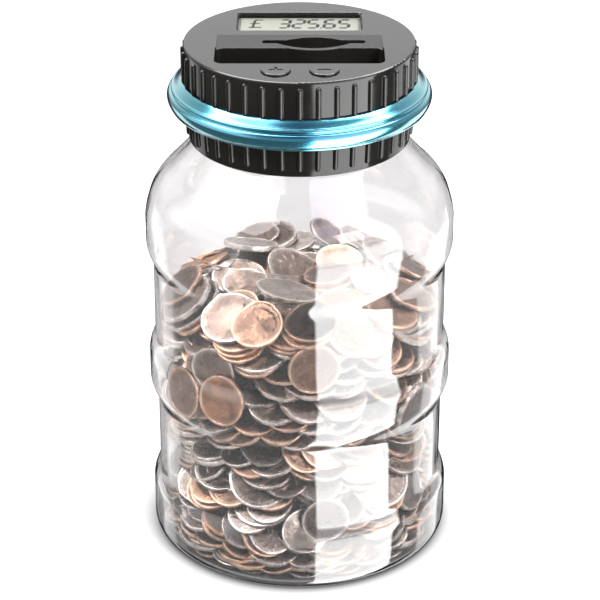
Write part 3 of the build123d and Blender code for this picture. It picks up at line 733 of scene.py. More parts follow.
# One list per kind. Each coin is seven numbers: its centre x, y, z in tenths of a millimetre,
# then its turn as a quaternion w, x, y, z times 500.
COINS = [
 [
  -360,-110,66,439,0,0,-239, -184,-346,66,478,0,0,146, -205,-353,66,83,0,0,493,
  -384,-9,66,239,0,-1,-439, 105,397,66,488,0,0,107, -136,379,66,444,0,0,230,
  -333,-261,74,342,17,-5,365, 76,392,213,282,-73,85,397, 213,-275,69,435,14,-7,246,
  -359,-23,114,63,-3,42,-494, 321,-160,96,499,21,1,16, 247,342,96,360,40,54,340,
  -319,-140,112,285,30,-30,408, 57,-407,91,71,-464,-173,7, 253,-245,114,46,3,-69,493,
  -315,381,142,290,366,63,167, 351,245,106,9,-60,-39,-495, -392,150,172,295,3,-13,404,
  -335,-238,154,400,45,0,-296, -78,418,126,74,10,-35,-493, 280,-292,134,94,-12,-86,483,
  10,407,232,-422,128,59,228, -384,114,243,153,9,10,-476, -367,89,283,467,16,-45,171,
  344,56,471,28,-176,-39,-466, 258,-310,179,398,70,-12,294, 210,-101,360,213,-93,341,-282,
  -371,49,296,352,47,-4,-352, -58,-316,235,106,28,161,-461, 47,-321,253,147,97,-135,448,
  -134,255,470,158,-113,45,458, 272,86,288,226,-324,141,-272, -282,264,246,364,-181,45,288,
  68,-366,237,406,162,-38,240, -121,-284,328,48,79,138,-472, 387,57,257,-475,21,-141,61,
  186,355,342,89,12,45,490, -155,-224,493,423,228,-134,26, -383,122,368,495,4,-67,18,
  -96,-318,335,371,74,-141,294, -283,311,352,-220,-109,150,409, 167,361,391,421,-30,89,253,
  -354,125,395,58,67,-2,-492, -147,318,394,-282,-31,163,378, -130,-398,310,473,149,-55,-31,
  396,-39,353,348,79,162,310, -165,344,355,398,-213,-213,27, -175,371,322,-160,3,153,448,
  -140,-397,397,-431,-184,-32,171, 66,-358,374,452,159,34,137, 335,42,537,278,154,126,365,
  -184,355,319,-345,-3,111,344, 292,-314,351,337,193,-53,310, -128,-258,613,359,68,-128,317,
  -138,-261,631,-460,-151,37,118, 226,-208,459,306,51,193,-341, 264,307,498,464,-100,-6,-158,
  -397,-75,309,-240,-132,-6,418, 423,6,390,48,167,67,464, -397,-78,463,178,74,14,-461,
  70,376,513,467,-170,-16,-56, 367,-188,461,42,119,-106,472, 394,139,449,464,44,172,61,
  95,404,564,87,-27,169,462, 85,-299,571,328,155,-36,343, -172,376,560,374,-46,-127,-303,
  64,-237,721,425,239,46,100, -356,-188,550,426,69,-36,-249, -264,315,592,465,-3,-165,-83,
  63,418,618,114,-37,166,456, -231,-338,596,472,29,-118,111, -289,-213,620,88,113,32,-478,
  -37,425,637,230,-79,151,410, -344,235,595,11,-137,62,477, -336,247,618,156,106,-106,-451,
  -225,-164,748,471,95,-136,-32, -402,56,640,-425,-22,134,225, -328,-125,703,195,-154,-106,421,
  285,324,644,461,-171,72,-52, -268,-320,660,472,92,-129,-43, 166,320,731,241,-166,-93,-395,
  243,-220,677,13,139,-61,476, -20,214,868,471,-66,12,152, -272,-46,813,385,64,-106,-294,
  117,-414,657,328,54,80,-365, -431,-134,684,262,-131,-168,369, -188,351,728,144,48,-150,-452,
  168,-400,679,267,63,-73,412, 434,4,659,469,17,173,-8, -222,349,716,437,-162,34,178,
  269,-189,758,154,-39,96,-464, 137,-227,824,490,82,60,-8, -209,-320,794,338,102,119,-333,
  -14,106,922,299,32,7,400, -345,41,820,488,-17,-90,-59, 100,395,853,300,-54,-54,-393,
  -129,315,865,2,32,-69,-494, 327,-62,809,462,52,47,178, -277,110,878,306,52,-76,-385,
  -110,391,807,-379,43,133,294, 158,-64,896,498,19,-2,44, 380,-78,861,434,21,88,232,
  -160,-6,938,486,72,-15,-91, 395,126,771,-4,160,50,471, -377,85,911,430,-42,-75,239,
  344,166,846,227,-82,12,-438, -42,353,950,61,10,40,494, -372,152,936,-425,24,119,233,
  -141,-352,905,480,78,-65,-97, 170,369,935,99,58,40,485, -342,98,942,270,72,-48,-412,
  114,-359,930,128,-9,100,-473, -365,101,953,267,72,-47,-414, 237,307,955,218,119,45,432,
  -303,-204,932,92,-57,-82,481, -135,-390,946,461,64,-91,158, 165,15,942,485,32,-5,115,
  392,5,916,460,-29,100,167, -12,-165,1007,337,-69,-1,-363, -344,139,1019,483,-54,-82,-84,
  -398,-125,982,289,151,-69,-372, 360,196,1014,277,-85,58,-404, -14,75,1021,104,42,-483,-67,
  -45,-152,1051,48,-68,-491,46,
 ],
 [
  351,-238,62,496,-1,0,62, 226,306,65,415,0,0,278, -353,-126,65,84,0,0,493,
  3,-388,68,272,-20,-20,419, -377,-223,62,442,10,15,-234, 166,-270,65,434,3,-3,248,
  -438,125,105,172,4,8,-469, -422,176,139,421,12,2,-270, -215,-370,99,345,7,2,362,
  -322,-72,140,497,41,11,-36, 328,-50,142,242,9,19,-437, 212,445,230,245,376,-215,47,
  -71,282,185,486,-112,-36,23, -354,-285,162,61,-22,-40,494, -320,-111,191,437,20,-41,239,
  -339,-270,181,176,38,25,-466, -369,-203,203,475,29,-37,149, 127,-179,148,324,176,307,-142,
  -258,248,285,-234,-61,133,417, 169,226,132,-464,124,-140,6, -309,278,210,338,-129,162,304,
  426,-76,162,-426,74,-116,223, 296,-116,217,496,-41,-18,46, -433,-61,106,-364,-64,143,304,
  344,290,208,310,-71,3,-386, -308,228,377,280,170,25,-377, -492,-32,168,11,259,100,-416,
  174,321,384,250,15,92,423, -202,-417,193,331,134,-93,338, -350,-30,307,467,41,-26,-173,
  -372,-230,279,362,47,-125,318, 47,-388,245,105,84,-144,460, -37,410,281,76,-127,83,470,
  257,158,415,332,-28,170,331, 85,-384,276,108,86,-178,446, -106,-451,191,463,173,35,67,
  -284,340,285,380,-174,-56,270, 279,-324,223,62,-284,-405,-33, 21,-473,208,318,205,218,-244,
  -223,-77,426,286,302,-185,-208, -254,256,298,-412,4,126,254, -179,-422,258,107,-30,-156,462,
  -97,391,303,374,-148,104,279, 269,-339,276,442,126,125,-151, 427,-120,323,243,123,132,398,
  132,399,436,113,441,-197,65, 228,372,391,473,-86,39,-132, 372,245,335,459,2,199,-8,
  -110,-432,313,449,117,-108,152, 237,-237,401,362,195,-37,282, 295,293,464,32,25,-489,95,
  -401,167,452,357,-81,-102,-325, -332,-276,383,-256,-122,44,409, 376,-237,409,151,-214,-422,-55,
  96,-496,272,116,-60,-366,-315, -52,-429,419,439,117,-59,200, -169,-269,592,-288,-137,-109,369,
  -275,295,492,100,-95,99,470, 393,-131,434,428,132,111,-193, 441,159,452,229,183,167,369,
  -322,88,713,432,-98,-150,177, -373,16,545,174,-172,26,436, -207,-374,510,-193,-103,-33,449,
  -112,426,516,99,44,-128,-471, -269,342,518,424,-130,-28,229, 9,-320,534,463,143,76,-96,
  72,-440,416,250,86,142,-400, -112,426,534,294,-16,-134,-381, -317,-297,483,103,-56,-55,483,
  281,-295,491,415,74,141,-228, -9,312,676,400,-139,87,252, 28,447,573,347,-129,-112,-317,
  -128,-412,551,-463,-166,-41,82, -459,6,526,159,209,-52,-422, 404,-176,548,324,-39,244,-290,
  154,-314,608,-76,-16,-140,474, 282,331,564,478,-100,4,-110, -52,455,634,73,-31,-168,-464,
  242,366,600,368,-169,-27,-292, -154,286,729,247,74,-174,-391, 307,-299,649,273,99,-28,406,
  -14,-452,630,426,62,64,-246, -88,-267,780,18,22,165,-471, 406,140,705,-176,117,-26,452,
  -401,229,648,465,-95,-122,100, -299,-21,815,460,25,-121,-151, -421,-98,712,212,-85,-100,434,
  -49,465,756,455,-148,-98,105, 294,373,668,360,-56,191,284, -266,-63,858,59,-95,-4,487,
  -62,-332,727,408,153,69,-235, -281,286,764,-46,-51,109,483, -125,405,763,458,-140,-113,88,
  253,-390,696,105,34,-90,479, 70,-207,819,304,137,-20,373, -378,176,724,316,-149,-40,355,
  392,194,717,-200,152,-41,430, -426,-24,765,445,48,-100,-200, -224,375,896,-428,37,151,207,
  354,-262,748,489,77,70,-11, -312,-386,846,359,322,-112,-67, 265,206,816,336,-114,102,-337,
  69,-280,882,441,51,62,-221, 506,-82,848,317,98,-342,-153, 155,-411,836,324,125,-107,344,
  -127,192,953,475,7,-41,-151, -405,167,790,472,-83,-138,26, 205,-332,842,286,10,93,-399,
  366,-252,830,448,37,87,-200, 145,-345,866,159,-17,92,-465, 324,-299,844,491,70,62,-5,
  -183,-41,957,483,43,-36,-114, 72,210,951,292,39,14,404, -160,201,962,413,-28,-31,278,
  128,-66,912,265,11,16,-424, 360,203,863,282,-64,38,-406, 307,-178,916,288,57,69,399,
  -426,-116,873,207,-53,-93,442, -271,-5,1017,252,41,-41,428, -271,-221,955,439,31,-96,218,
  -402,81,1000,150,48,-86,-467, -29,-414,986,111,33,84,-479, 376,346,886,323,324,-167,-113,
  414,-148,954,324,-20,75,-373, 133,-92,956,500,0,8,-2, 394,-194,987,333,-17,76,-365,
  228,12,1011,48,11,-19,-497, 125,-382,973,324,88,-48,367, -201,-58,1036,467,48,33,-168,
  235,369,1015,128,-119,47,-466, 230,372,1001,30,-480,-60,124, 327,293,1008,171,92,30,460,
  -167,405,1022,36,134,480,28, 58,193,981,421,70,18,260, 252,-359,978,-417,-132,-95,222,
  276,-45,1039,369,-26,59,-331, 119,420,1015,37,428,-216,-137, 318,294,59,489,-71,75,0,
  -151,408,63,486,-105,-49,0, -317,294,59,490,-66,-73,0, -396,180,63,486,-34,-111,0,
  -404,-159,62,487,44,-103,0, -167,-400,61,488,105,-28,0, 20,-432,59,490,100,6,0,
  312,-304,63,486,86,77,0, 438,91,82,491,-14,93,0, 256,370,82,490,-77,60,0,
  -440,74,82,493,-3,-82,0, 444,-76,82,493,19,81,0, -340,-286,106,494,44,-62,0,
  -174,-407,106,496,55,-29,0, 19,-446,106,496,64,2,0,
 ],
 [
  -169,382,63,388,0,0,316, 334,97,66,498,0,0,-44, -370,110,65,500,0,0,23,
  -434,100,60,494,0,0,74, 18,-424,66,46,28,4,-497, 340,53,89,4,-210,-445,88,
  392,-154,67,482,-17,0,133, 242,-366,116,50,124,-132,463, 272,334,65,315,-56,38,-382,
  321,-71,73,258,-4,-16,-428, -344,-34,95,299,17,39,-399, -179,-414,65,500,2,3,2,
  94,389,66,290,0,0,407, 222,338,86,49,-68,-1,-493, -210,-398,83,105,-5,5,-489,
  -405,188,124,462,11,-1,-190, 377,178,70,441,-88,3,-218, 421,160,82,342,-24,84,354,
  173,365,133,310,-59,36,-386, 428,-67,99,469,-3,162,62, -359,-253,112,326,21,37,-376,
  -410,108,152,354,5,-12,353, 323,316,131,495,-6,67,30, -283,-147,146,128,10,36,-482,
  -300,-336,126,392,44,-1,-307, 363,-204,145,240,30,-62,433, 415,125,127,3,64,31,495,
  103,-412,102,330,66,-26,369, -198,-406,136,482,98,43,-79, 157,-394,116,352,83,-87,334,
  416,175,138,363,-69,20,-336, -348,-23,179,432,28,7,-251, 391,226,154,159,41,58,469,
  -404,121,206,494,11,-7,77, 309,-102,200,302,-6,-44,-396, 103,-409,119,396,70,-13,297,
  362,269,170,231,-70,-10,-438, -314,-89,211,229,-6,-46,442, 238,339,170,476,6,62,142,
  217,-261,156,385,82,29,-307, -174,369,144,448,-17,-32,-218, 107,-397,139,251,60,-38,427,
  330,268,251,71,265,-418,5, -76,-204,276,121,164,313,-332, -330,124,273,268,-10,-40,420,
  224,-99,716,24,257,-174,391, -61,-277,226,298,32,-119,382, 189,344,198,294,-56,26,-400,
  -30,390,233,468,-152,-87,1, -137,-282,206,-478,-144,-2,30, 277,-326,190,414,35,61,-272,
  -423,-59,183,-479,20,131,54, -72,366,232,202,-212,27,405, -58,419,215,479,-108,33,91,
  -275,-358,184,488,103,30,-21, 255,283,296,24,-99,-481,94, 182,-388,258,396,141,-14,270,
  278,-320,208,63,-495,2,32, 220,364,223,-482,94,-85,44, -268,-356,202,358,94,-52,333,
  418,-27,194,231,30,139,420, 316,-134,252,1,-37,-4,499, 173,318,269,267,-180,63,-377,
  -125,-443,182,51,-41,172,-465, 221,306,330,19,18,42,498, -89,-240,487,422,247,-96,-42,
  220,-115,365,350,172,309,-52, -408,-158,116,393,-23,-175,254, -333,95,363,482,-10,-66,116,
  188,-283,311,361,125,153,-285, -333,-279,283,346,46,-130,334, 278,-209,276,458,55,-21,192,
  323,-106,353,437,-23,238,40, -317,-298,296,125,-27,-135,464, -367,346,349,98,-325,167,327,
  105,-297,339,382,184,-73,256, -411,115,396,382,-38,-55,316, 325,-9,377,-310,72,-95,374,
  -374,-115,338,375,51,-42,-324, 429,42,242,-426,44,-145,213, -320,-294,316,330,40,-132,350,
  330,244,328,258,-162,116,-379, -245,105,593,191,-320,-150,297, 155,-400,292,-317,-32,-141,358,
  -111,-310,447,445,179,-140,-1, 302,-334,301,26,100,-174,457, -249,-360,350,-429,-179,3,184,
  438,-62,345,41,-177,-33,-465, 241,358,408,480,-58,74,103, -423,62,429,484,20,-63,-108,
  313,110,508,49,-178,-30,-464, -425,44,444,495,5,-66,10, 373,235,356,167,-183,77,-427,
  -432,48,679,-119,-147,76,457, 270,333,427,471,-56,75,139, 293,315,472,73,12,99,484,
  -179,400,340,-225,71,165,409, -101,-424,372,-453,-171,6,125, -379,199,477,481,-130,-11,37,
  251,265,611,84,10,99,483, -358,-117,440,455,36,-56,-196, -180,366,446,467,-125,-119,46,
  -207,345,461,160,83,-150,-441, 128,-373,412,183,-20,161,-436, 431,30,438,9,157,1,475,
  -25,439,398,69,-95,160,459, -411,-116,471,403,-5,-76,286, -382,-102,498,390,72,-26,-303,
  238,-358,425,289,150,-52,375, 379,-220,458,278,157,-30,384, -169,-398,496,-390,-150,-52,270,
  -431,115,567,390,191,-174,-175, -15,296,703,405,-100,104,255, 30,-415,495,243,146,-77,404,
  256,-176,572,342,91,55,349, 71,438,558,172,-58,161,437, 324,62,605,197,-143,67,-431,
  -180,397,566,460,-90,-101,-144, 25,-432,546,437,208,112,-53, 340,-270,502,433,100,130,187,
  231,-373,464,176,157,-87,432, -150,409,589,357,-132,26,323, 284,323,529,361,-53,85,331,
  376,-56,546,389,92,129,271, 216,-402,483,86,-29,223,-438, 19,-347,636,-463,-107,-76,135,
  393,-32,578,427,-14,157,-208, -381,216,556,71,-143,44,472, 90,-422,556,33,-83,224,-438,
  -385,-189,560,22,68,39,-493, 442,55,597,257,109,154,385, -186,-401,621,322,-44,-112,363,
  -206,-202,724,262,165,-8,-392, 367,-232,562,-414,-7,-165,227, -430,8,587,-472,-79,122,76,
  225,-367,560,292,120,-88,377, -252,-369,628,461,108,-113,-115, 422,-134,617,458,-58,178,-72,
  192,247,733,-35,71,170,463, -363,258,619,7,134,-67,-477, -399,-179,597,437,-10,-130,205,
  -378,-206,647,-5,-146,-29,477, -220,212,739,369,38,-179,-284, 334,115,684,-23,182,-33,464,
  166,-416,634,23,-9,96,-490, 414,173,604,98,-186,-29,-453, -316,-293,677,128,-124,-84,460,
  433,-124,627,71,452,-104,-173, -424,-317,717,121,-186,-276,353, 139,443,662,274,-23,189,372,
  402,225,662,441,-38,176,-152, -383,-181,650,101,-93,-67,476, -202,411,651,404,-62,-167,-234,
  -438,-8,656,323,145,-165,-312, 305,349,657,188,-172,-101,-418, -282,-442,751,175,279,160,-341,
  -296,-295,711,98,-36,-138,469, 49,419,702,401,-95,46,280, 228,222,799,82,-152,18,-469,
  -148,-202,847,410,130,-98,236, 104,392,770,290,-20,166,371, -338,-240,751,136,-24,-140,460,
  278,388,690,433,-187,53,-158, -340,-226,778,246,11,-142,412, 152,398,770,329,-41,157,340,
  -227,119,844,413,-9,-98,-263, 417,-97,673,-44,126,-59,478, 329,347,717,289,-5,194,359,
  -70,-457,666,419,100,-78,242, -63,217,883,465,-60,-31,-170, 237,399,757,256,-10,161,398,
  -159,-434,691,185,30,-122,447, -344,-196,837,477,121,-75,46, 423,-36,729,310,69,14,386,
  -37,-457,716,483,106,-1,-75, -406,65,758,358,83,-76,-330, -363,250,753,395,19,-153,-264,
  71,157,933,188,41,4,461, 138,-274,825,421,101,8,249, 321,299,772,361,21,180,295,
  253,-273,810,221,138,-19,426, -393,254,751,331,-147,-46,342, 280,200,824,476,-12,153,-11,
  -336,261,829,285,39,-105,-395, 309,-346,773,50,-104,91,-478, 355,-111,813,473,12,69,-145,
  -307,312,845,282,40,-104,-398, 370,185,802,395,62,88,287, -437,-31,816,492,-33,-83,-12,
  201,-29,881,445,16,-9,227, -273,321,874,486,-54,-97,-40, -335,-275,844,463,81,-150,81,
  56,390,900,40,-3,-65,-494, 409,53,817,480,-9,90,106, -10,438,907,-464,172,53,46,
  -326,291,882,5,87,-65,-488, -50,-416,877,324,18,-59,376, -78,370,932,251,-32,-26,-430,
  -438,-4,860,454,-25,-104,180, 412,-35,863,450,-56,71,-198, 327,-286,864,490,75,55,37,
  -3,-291,949,307,53,26,-390, 168,396,915,492,-35,61,-52, 65,-180,925,477,1,8,-149,
  392,-183,923,158,-90,7,-466, -174,-250,940,468,38,-94,142, 282,-342,923,28,231,-417,-147,
  233,120,927,437,28,14,240, 72,-180,941,72,8,-2,495, 81,-390,942,335,90,-45,357,
  -147,-411,915,21,69,87,-487, 52,-497,912,327,-315,-181,-105, -20,-187,996,307,10,68,389,
  -161,456,902,270,-282,133,283, -436,-31,939,103,115,54,-472, 167,-188,1024,398,26,3,301,
  -334,285,978,55,-96,156,462, 437,-4,981,331,-78,65,-360, 99,-384,959,211,72,-70,442,
  240,349,976,232,118,49,424, 358,218,902,132,-118,48,-465, -264,317,937,486,-55,-93,-50,
  -211,-387,969,318,49,-130,360, -276,310,952,31,83,-70,-487, -380,125,966,491,-6,-86,34,
  -32,-408,1005,108,32,84,-480, -148,198,1009,150,44,-46,473, -282,-233,965,488,76,-66,-40,
  -221,-382,988,397,79,-114,271, -27,-408,1023,298,64,63,-391, 344,230,951,170,-114,57,-453,
  -134,129,1008,482,62,14,115, -382,-170,965,128,166,-7,-454, -2,-138,1018,431,-66,20,-244,
  -228,-378,1008,285,117,75,-387, 194,88,968,495,32,7,-64, 158,166,1015,335,75,-38,362,
  337,-272,1025,137,-49,61,-475, -364,153,1027,431,-25,-95,-233, -201,-323,990,342,57,-126,338,
  -147,131,1027,483,62,14,113, -239,-204,1005,478,53,-85,105, -151,-415,1046,249,109,85,-411,
  39,-421,1059,493,79,-18,14, 120,-3,1020,276,26,-29,-415, 410,-148,1039,102,8,-489,-19,
  -439,-94,978,459,0,-166,108, -41,-29,964,437,100,85,204, 30,-432,1038,356,46,-66,341,
  108,28,1033,122,-39,0,483, -444,-50,1028,17,-161,-44,471, 431,-71,1018,96,-289,-394,41,
  -35,47,1003,441,101,76,199, 189,-386,994,104,88,-118,466, 431,77,1037,68,-272,-405,88,
  15,429,65,487,-112,0,0, -427,9,61,490,-12,-100,0, -315,-288,61,490,72,-70,0,
  158,-398,63,489,103,26,0, 392,-170,61,490,33,95,0, 356,262,82,494,-47,60,0,
  95,434,82,491,-93,15,0, -108,426,82,494,-72,-29,0, -364,246,82,493,-39,-75,0,
  -371,-241,82,494,35,-67,0, -87,-434,82,493,78,-24,0, 100,-429,82,492,82,30,0,
  234,-376,82,492,73,47,0, 437,35,106,492,-18,84,0, 372,223,106,494,-40,65,0,
  262,347,106,495,-54,41,0, 98,428,106,494,-77,10,0, -111,426,106,496,-64,-16,0,
  -274,340,106,494,-62,-41,0, -390,201,106,495,-30,-67,0, -433,61,106,493,-8,-81,0,
  -421,-127,106,494,17,-73,0, 422,-119,106,493,22,81,0,
 ],
 [
  172,-347,67,156,0,0,-475, -126,373,67,362,0,0,345, 341,-41,73,302,18,-15,398,
  71,401,67,232,0,0,443, 356,-249,64,479,-1,0,143, -289,236,68,300,-4,13,400,
  -325,246,66,86,2,13,492, 357,-212,165,-18,106,-56,485, -328,260,82,154,0,14,476,
  -433,76,85,452,10,4,-214, 339,140,86,444,-88,4,-213, -298,261,101,499,-13,3,-34,
  50,393,84,38,0,0,-499, -30,-308,87,305,18,-11,396, 328,-79,122,0,-2,21,-500,
  -125,384,96,291,19,-22,-405, 188,398,147,419,-44,53,-264, -132,-284,115,43,-5,5,-498,
  -260,285,132,348,-17,56,354, -379,175,192,190,10,9,-462, 323,-93,182,441,-45,-1,232,
  -95,-434,133,119,3,106,-474, -338,137,226,407,7,-11,291, 348,270,192,64,51,49,491,
  138,-313,175,289,11,70,-402, -312,-167,233,487,33,-34,104, 325,274,233,243,-71,-8,-431,
  -284,-159,270,14,-352,-347,-76, 248,101,300,269,-296,194,-229, -235,353,157,443,-157,22,170,
  406,-209,254,79,-416,52,260, -162,-263,306,453,120,-104,140, -360,-194,278,21,72,107,-483,
  181,-196,409,230,225,-187,334, -154,388,209,112,-133,73,463, 10,-418,184,288,106,-79,387,
  363,67,253,344,127,85,329, -408,84,324,431,-26,-53,246, 87,-359,342,104,-88,-464,-126,
  3,386,335,18,108,-106,-476, 408,68,227,484,4,113,59, -234,-96,437,238,332,-121,-261,
  282,-153,642,471,112,87,91, 411,98,233,436,46,145,191, 37,413,380,483,-115,14,54,
  -362,-104,360,251,62,-24,-428, -242,-310,398,-470,-161,24,55, -409,85,415,468,28,-61,-162,
  -287,-297,381,-70,-45,-101,483, 353,243,329,160,188,65,430, -358,-108,381,334,-41,-52,366,
  -185,-298,427,-106,-84,-155,456, -355,-108,402,488,-1,-66,87, 430,-38,370,23,-428,-184,179,
  76,-374,383,35,90,-136,471, 340,148,414,291,-139,128,-360, -349,-118,424,277,-48,-46,411,
  -363,192,461,38,-31,127,481, 80,-374,406,417,88,137,-223, 50,377,466,280,-85,100,393,
  -304,-286,470,206,-43,-66,449, 260,276,531,452,-99,-13,-188, 495,-40,459,346,-106,311,-149,
  -353,212,492,86,-2,-131,-475, 8,-296,553,211,110,-118,423, 380,179,390,311,97,104,365,
  207,-346,423,457,152,49,126, -269,-13,621,112,326,-29,-361, -119,-400,454,-383,-118,-55,294,
  -168,388,498,401,-135,7,266, -325,248,521,316,-131,40,362, 94,399,518,149,-59,-160,-446,
  -94,-410,513,478,113,-87,37, 200,-306,495,203,-22,157,-428, 101,404,539,250,-87,147,398,
  -372,-188,505,88,-57,-53,486, 395,159,515,-30,160,27,472, -308,76,643,-382,-84,108,292,
  -382,-171,526,379,-10,-78,317, 71,-285,682,-311,-36,-116,372, 283,310,553,203,-16,99,446,
  81,-408,494,-461,-92,-81,150, 261,-167,678,392,206,52,225, 373,-210,543,460,158,66,94,
  211,225,712,317,-30,223,315, 196,-380,557,425,169,-21,201, 275,42,744,389,-164,191,-186,
  -4,452,663,409,-136,111,227, 294,38,753,-421,102,-108,225, 422,-306,636,286,341,171,151,
  -427,13,640,415,75,-207,-173, -352,268,646,347,-144,-55,325, 306,-279,674,456,49,91,-179,
  101,390,750,414,-85,144,225, 425,139,655,466,32,177,27, 337,-244,699,418,102,17,254,
  226,207,822,9,-473,-54,153, -392,239,716,143,354,318,56, -320,-237,798,468,111,-89,102,
  -392,130,708,292,66,-139,-376, 126,-429,700,423,99,37,-245, -183,349,779,357,-1,-180,-300,
  -111,-270,820,321,124,106,-347, 48,-445,709,272,73,77,-406, 356,-229,740,135,-43,94,-470,
  33,321,853,370,-59,47,328, 142,-435,768,75,-32,-475,-134, 166,-297,790,451,54,86,-190,
  -88,-442,747,226,49,-94,434, 211,408,784,390,-160,-14,-268, -401,-151,726,-448,-135,107,141,
  415,-5,754,118,69,-16,481, 427,-26,769,46,65,-26,493, -146,-396,790,129,28,-101,472,
  -62,-280,876,320,27,72,-376, -33,333,896,324,-44,48,375, -153,-188,925,372,52,-13,-330,
  24,-452,764,276,125,-62,393, -358,123,862,476,-13,-105,110, 171,387,874,386,-67,-31,-310,
  -61,-422,830,269,79,-56,410, 388,-192,815,202,94,-18,447, 33,-424,836,399,94,-23,285,
  -380,31,870,260,-82,-69,414, -325,-255,918,461,3,-110,160, 146,-375,874,100,-28,89,-481,
  27,420,944,-102,34,144,467, 255,-338,887,431,92,8,236, -233,-126,953,114,-52,-73,478,
  382,-171,906,434,21,88,232, -288,296,914,58,487,-31,91, 124,378,966,308,-68,18,-387,
  -410,-114,898,272,107,2,-406, 408,15,887,454,-26,101,182, 212,-136,985,263,-2,-29,-424,
  -227,-4,1032,98,25,-52,487, 365,-214,973,493,40,67,-36, 413,28,923,471,-36,97,133,
  337,224,934,412,-54,115,-253, 421,45,938,289,-103,1,-395, 176,-47,994,138,-20,21,480,
  375,193,965,442,44,93,209, 341,-250,1009,63,69,-36,490, -252,-349,1041,427,138,16,-221,
  -39,368,999,57,109,485,6, 408,120,972,18,103,4,489, -187,215,1072,10,-76,-490,67,
  -417,-132,1011,446,88,-141,-152, 417,87,1010,8,488,-36,-102, -114,404,1013,347,-18,-42,358,
  418,-10,67,490,-7,100,0, 394,141,68,489,-39,96,0, 169,381,71,488,-96,53,0,
  -257,350,82,494,-62,-42,0, -422,-104,82,492,12,-89,0, -227,-368,82,490,84,-52,0,
  358,-247,82,491,49,80,0, 153,-397,106,495,67,28,0, 307,-295,106,494,57,55,0,
 ],
]
COIN_SEG = 192
# rings on a coin's face, as fractions of its radius
FACE_RINGS = [
    0.05, 0.10, 0.16, 0.22, 0.28, 0.34, 0.39, 0.44, 0.49, 0.54, 0.59, 0.64, 0.69, 0.74, 0.79,
    0.835, 0.86, 0.885, 0.90, 0.915, 0.965, 0.985]


def coin_relief(ring, side, angle):
    """Height over the rim's plane: beads on both sides, leaves and star on top, bars below."""
    height = np.full(COIN_SEG, -0.17)
    if ring > 0.90:
        height = height + 0.17
    if 0.825 < ring < 0.89:
        height = height + 0.07 * np.clip(np.cos(angle * 48), 0, 1)
    if side > 0:
        if 0.56 < ring < 0.78:
            height = height + 0.05 * np.clip(np.cos(angle * 16 + 20 * ring) * 1.2, 0, 1)
        star = 0.36 + 0.13 * np.cos(angle * 5)
        return height + 0.05 * np.clip((star - ring) / 0.12, 0, 1)
    if 0.48 < ring < 0.76:
        bars = np.clip(np.cos(angle * 12) * 1.6, 0, 1)
        height = height + 0.08 * bars * np.clip((0.76 - ring) / 0.06, 0, 1)
    rosette = 0.26 + 0.05 * np.cos(angle * 8)
    height = height + 0.10 * np.clip((rosette - ring) / 0.05, 0, 1)
    if 0.36 < ring < 0.42:
        height = height + 0.07
    return height


def coin_mesh(name, diameter, thickness, kind):
    """A struck coin, milled on its edge if silver. The rim attribute marks worn metal."""
    radius, half = diameter / 2, thickness / 2
    angle = np.linspace(0, 2 * math.pi, COIN_SEG, endpoint=False)
    mill = 0.07 * (np.arange(COIN_SEG) % 2 == 0) if kind == "silver" else 0.0

    def face(side):
        return [(radius * ring, side * (half + coin_relief(ring, side, angle)),
                 0.62 if ring > 0.9 else (0.15 if ring > 0.83 else 0.0))
                for ring in FACE_RINGS]

    edge = [(radius - 0.06, half - 0.05, 1.0), (radius - mill, half - 0.16, 0.8)]
    rings = face(1) + edge + [(r, -z, worn) for r, z, worn in edge[::-1]] + face(-1)[::-1]
    verts, wear, faces = [], [], []
    for r, z, worn in rings:
        verts += np.column_stack([r * np.cos(angle), r * np.sin(angle), z + 0 * angle]).tolist()
        wear += [worn] * COIN_SEG
    for first in range(0, (len(rings) - 1) * COIN_SEG, COIN_SEG):
        second = first + COIN_SEG
        for k in range(COIN_SEG):
            after = (k + 1) % COIN_SEG
            faces.append((first + k, second + k, second + after, first + after))
    last = len(verts) - COIN_SEG
    for side in (1, -1):
        verts.append((0, 0, float(side * (half + coin_relief(0.0, side, angle)[0]))))
    top, bottom = len(verts) - 2, len(verts) - 1
    faces += [(top, k, (k + 1) % COIN_SEG) for k in range(COIN_SEG)]
    faces += [(bottom, last + (k + 1) % COIN_SEG, last + k) for k in range(COIN_SEG)]
    mesh = bpy.data.meshes.new(name)
    mesh.from_pydata([(x * MM, y * MM, z * MM) for x, y, z in verts], [], faces)
    shade_smooth(mesh, sharp_degrees=40)
    mesh.attributes.new("rim", "FLOAT", "POINT").data.foreach_set("value", wear + [0.0, 0.0])
    return mesh


